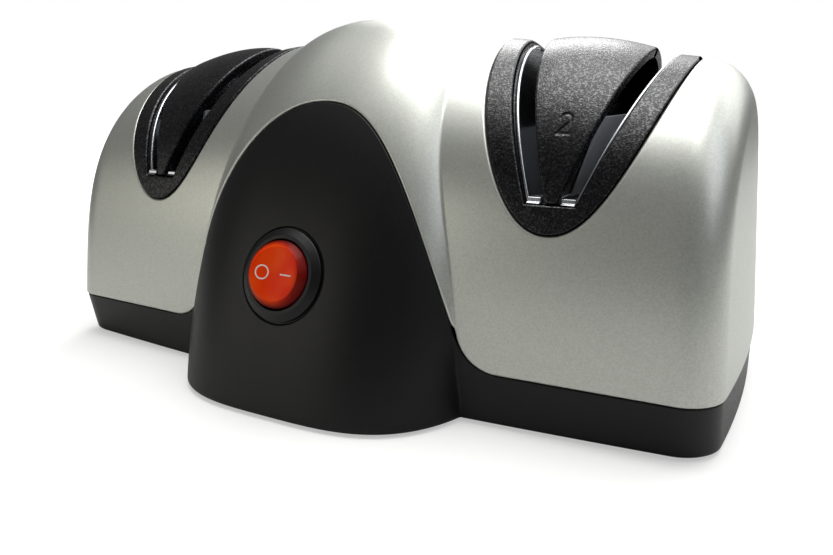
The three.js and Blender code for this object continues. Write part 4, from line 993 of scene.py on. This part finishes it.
for number, middle in STAGE_MIDDLES.items():
    for word, hand in (("left", -1), ("right", 1)):
        stage, node = f"stage_{number}_{word}", f"plate_{number}_{word}"
        bright = joined(bright_part(middle, hand), *[tab_part(middle, hand, face) for face in (-1, 1)])
        new_piece(f"{stage}_bright_plate", bright, "bright_steel", f"outer_{node}")
        new_piece(f"{stage}_grey_plate", grey_part(middle, hand), "grey_steel", f"inner_{node}")

# %% [markdown]
# ## The rocker switch
# A conical flange stands round a well with a button, whose face is a shallow V, so that one half
# always stands up: a profile carried round its axis, with its face lifted to follow the V.

# %% Switch flange and button
BEZEL_HEIGHT = 1.9
BEZEL_RIM = 10.7
POCKET_RADIUS = 9.6
POCKET_DEPTH = 9.3
BARREL = (10.5, 14)
BUTTON_RADIUS = 9.1
BUTTON_SHOULDER = 4.1
BUTTON_FACE_RADIUS = 7.3
BUTTON_FACE = 5.2
BUTTON_BACK = 4.8
BUTTON_DISH = np.radians(11)
BUTTON_TILT = np.radians(5)
PIVOT = np.array([0, 0, -1.0])

top, floor = GAP + BEZEL_HEIGHT, GAP + BEZEL_HEIGHT - POCKET_DEPTH
flange = rounded_profile([
    (0, -BARREL[1], 0), (BARREL[0], -BARREL[1], 0.6), (BARREL[0], GAP, 0), (BEZEL_RADIUS, GAP, 0.2),
    (BEZEL_RADIUS, top - 1.3, 0.4), (BEZEL_RIM, top, 0.3), (POCKET_RADIUS, top, 0.25),
    (POCKET_RADIUS, floor, 0.3), (0, floor, 0)])
new_piece("switch_flange", whole(at_seat(turned_profile(flange))), "black_plastic", "switch_body")


def button_dish(x):
    """Rise of the dished face at a distance from its valley: a V with its bottom rounded over 3 mm."""
    return (np.sqrt(x * x + 9) - 3) * np.tan(BUTTON_DISH)


def turned_button(points):
    """The button's points, tilted about its pivot, in the machine's frame."""
    c, s = np.cos(BUTTON_TILT), np.sin(BUTTON_TILT)
    turn = np.array([[c, 0, s], [0, 1, 0], [-s, 0, c]])
    return at_seat(points @ turn.T + PIVOT)


def button_grid():
    """The button's profile, with its face lifted by the dish. The lift fades down the side."""
    rise = button_dish(BUTTON_FACE_RADIUS) * 0.5
    face = BUTTON_FACE + rise
    line = rounded_profile([
        (0, -BUTTON_BACK, 0), (7.5, -BUTTON_BACK, 0.5), (BUTTON_RADIUS, -1.5, 2.0),
        (BUTTON_RADIUS, BUTTON_SHOULDER, 0.7), (BUTTON_FACE_RADIUS, face, 0.5), (6.0, face, 0)])
    inner = np.stack([np.linspace(6.0, 0, 16)[1:], np.full(15, face)], -1)
    grid = turned_profile(np.concatenate([line, inner]))
    weight = np.clip((grid[..., 2] - BUTTON_SHOULDER) / (face - BUTTON_SHOULDER), 0, 1)
    return grid + (weight * (button_dish(grid[..., 0]) - rise))[..., None] * [0, 0, 1]


button = whole(turned_button(button_grid()))
piece = new_piece("switch_button", button, "red_plastic", "rocker_button", body="rocker")
# The share is 1 on the button's face and 0 down its sides, which the red finish paints in shade.
place = np.empty(3 * len(piece.data.vertices), np.float32)
piece.data.vertices.foreach_get("co", place)
place = place.reshape(-1, 3) * 1000 - SEAT
from_axis = np.hypot(place[:, 0], place @ SEAT_UP)
painted_light_share = np.clip((BUTTON_FACE_RADIUS + 0.7 - from_axis) / 0.6, 0, 1).astype(np.float32)
piece.data.attributes.new("painted_light_share", "FLOAT", "POINT").data.foreach_set("value", painted_light_share)


# %% Marks on the button
def mark_part(line, width):
    """A printed line: a strip a few hundredths of a millimetre above the face."""
    flat = line + np.linspace(-1, 1, 5)[:, None, None] * width
    height = BUTTON_FACE + button_dish(flat[..., 0]) + 0.04
    return whole(turned_button(np.concatenate([flat, height[..., None]], -1)))


turn = np.linspace(0, 2 * np.pi, 49)
circle = np.stack([np.cos(turn), np.sin(turn)], -1)
dash = np.linspace([5.3, 0], [1.7, 0], 20)
marks = joined(mark_part([-3.8, 0] + 1.8 * circle, 0.2 * circle), mark_part(dash, np.array([0, 0.2])))
new_piece("switch_marks", marks, "red_plastic", body="rocker", material=WHITE_INK)

# %% [markdown]
# ## Feet and gland
# The rubber feet and the gland at the rear are turned forms with rounded rims.

# %% Feet and gland
profile = rounded_profile([(0, 0, 0), (FOOT_RADIUS, 0, 0.5), (FOOT_RADIUS, 1.9, 0.1), (0, 1.9, 0)])
for (x, y), place in zip(FOOT_PLACES, ("front_left", "rear_left", "front_right", "rear_right")):
    foot = whole(turned_profile(profile, 48) + [x, y, 0])
    new_piece(f"rubber_foot_{place}", foot, "rubber", f"foot_{place}")

GLAND_HEIGHT = 20
GLAND_LENGTH = 11.5
rear_gain = 1 + DOME_REAR_GAIN * (GLAND_HEIGHT / DOME_HEIGHT) ** 2
gland_inner = dome_sizes(GLAND_HEIGHT, 0.0)[0] * rear_gain + 3.3 - GLAND_LENGTH
profile = rounded_profile([
    (3.2, 0, 0.3), (3.2, GLAND_LENGTH, 0.5), (8, GLAND_LENGTH, 0.7), (8, 9.9, 0.3), (6, 9.9, 0.2),
    (6, 1.6, 0.2), (8, 1.6, 0.3), (8, 0, 0.3), (3.2, 0, 0.3), (3.2, 1, 0)])
ring = turned_profile(profile, 64)
gland = np.stack([ring[..., 0], gland_inner + ring[..., 2], GLAND_HEIGHT + ring[..., 1]], -1)
new_piece("rear_gland", whole(gland), "rubber", "cord_gland")

# %% [markdown]
# ## Inner parts
# The wheels, shaft, motor, bearings and screws keep their CAD solids, whose shapes are already right.
# The record says which material each of them has.

# %% Finishes of the CAD nodes
kept = 0
for row in frame["record"]["subparts"]:
    node = nodes[row["node"]]
    if not node.hide_render:
        node.data.materials.clear()
        node.data.materials.append(FINISH[row["material_slot"]])
        kept += 1
print("finished", kept, "CAD nodes that stay in view")

# %% [markdown]
# ## Studio
# The machine stands on a plain pale floor in soft light, as in a catalogue picture. The background is
# white for the camera, while the lamps light the object.

# %% Floor, lamps and world
FLOOR_REACH = 4.0
CAMERA_FILL = (0.45, 1.0)
FILL_DISTANCE = (0.3, 0.75)
DIFFUSE_SKY, GLOSSY_SKY = 0.12, 0.13

floor_mesh = bpy.data.meshes.new("studio_floor")
corners = [(sx * FLOOR_REACH, sy * FLOOR_REACH, 0) for sx, sy in ((-1, -1), (1, -1), (1, 1), (-1, 1))]
floor_mesh.from_pydata(corners, [], [(0, 1, 2, 3)])
studio_floor = in_scene("studio_floor", floor_mesh)


def pale_floor():
    """A matt floor that brightens with the distance for the camera and so meets the background."""
    material, tree, shader, place = new_finish("studio_floor_matt", "#C6C6C4", 0.95)
    distance = add_node(tree, "VectorMath", "Value", {"operation": "LENGTH"}, i0=place)
    fill = add_node(tree, "MapRange", Value=distance, From_Min=FILL_DISTANCE[0], From_Max=FILL_DISTANCE[1],
                    To_Min=CAMERA_FILL[0], To_Max=CAMERA_FILL[1])
    for_camera = add_node(tree, "LightPath", "Is Camera Ray")
    seen = add_node(tree, "Math", 0, {"operation": "MULTIPLY"}, i0=for_camera, i1=fill)
    feed(tree, shader, Emission_Color=linear("#FFFFFF"), Emission_Strength=seen)
    return material


floor_mesh.materials.append(pale_floor())


def add_lamp(name, place, target, size, power, colour="#FFFFFF"):
    """A rectangular soft lamp that shines from a place to a target."""
    light = bpy.data.lights.new(name, "AREA")
    light.shape, (light.size, light.size_y) = "RECTANGLE", size
    light.energy, light.color = power, linear(colour)[:3]
    lamp = in_scene(name, light)
    lamp.location = place
    lamp.rotation_euler = (Vector(target) - Vector(place)).to_track_quat("-Z", "Y").to_euler()


add_lamp("ceiling_panel", (0.2, 0.35, 1.15), (0.2, 0.35, 0), (1.9, 1.9), 9)
add_lamp("overhead_soft_box", (0.1, 0.17, 1.1), (0.1, 0.17, 0), (0.85, 0.8), 10)
add_lamp("back_soft_box", (0.25, 1.1, 0.86), (0.1, 0, 0.1), (2.2, 0.8), 10)
add_lamp("rim_soft_box", (-0.3, 0.84, 0.8), (0.03, 0, 0.1), (0.5, 0.4), 3)
add_lamp("front_left_soft_box", (-0.6, -0.82, 0.28), (0, 0, 0.05), (0.6, 0.45), 1.3, "#FBF8EC")
add_lamp("right_soft_box", (0.95, 0.05, 0.7), (0.03, 0, 0.06), (0.7, 0.6), 1.8, "#F2F6FF")

world = bpy.data.worlds.new("studio")
bpy.context.scene.world = world
world.use_nodes = True
tree = world.node_tree
for_camera, for_gloss = (add_node(tree, "LightPath", f"Is {ray} Ray") for ray in ("Camera", "Glossy"))
sky = add_node(tree, "MapRange", Value=for_gloss, To_Min=DIFFUSE_SKY, To_Max=GLOSSY_SKY)
level = add_node(tree, "MapRange", Value=for_camera, To_Min=sky, To_Max=1.0)
feed(tree, tree.nodes["Background"], Color=linear("#FFFFFF"), Strength=level)

# %% [markdown]
# ## Camera
# Place, direction and focal length were found by fitting the machine's outline to the photograph: the
# camera stands to the right of the switch and looks down by 14 degrees.

# %% Camera
CAMERA_PLACE = np.array([121.62, -213.48, 85.84]) * 0.001
CAMERA_YAW, CAMERA_PITCH = np.radians([28.613, -14.442])
FOCAL_PIXELS, PICTURE_PIXELS = 724.3, 833
camera_data = bpy.data.cameras.new("camera")
camera_data.sensor_width = 36
camera_data.lens = FOCAL_PIXELS / PICTURE_PIXELS * 36
camera_data.clip_start = 0.01
camera = in_scene("camera", camera_data)
camera.location = CAMERA_PLACE
camera.rotation_euler = (np.pi / 2 + CAMERA_PITCH, 0, CAMERA_YAW)
bpy.context.scene.camera = camera
bpy.context.scene.view_settings.view_transform = "Standard"
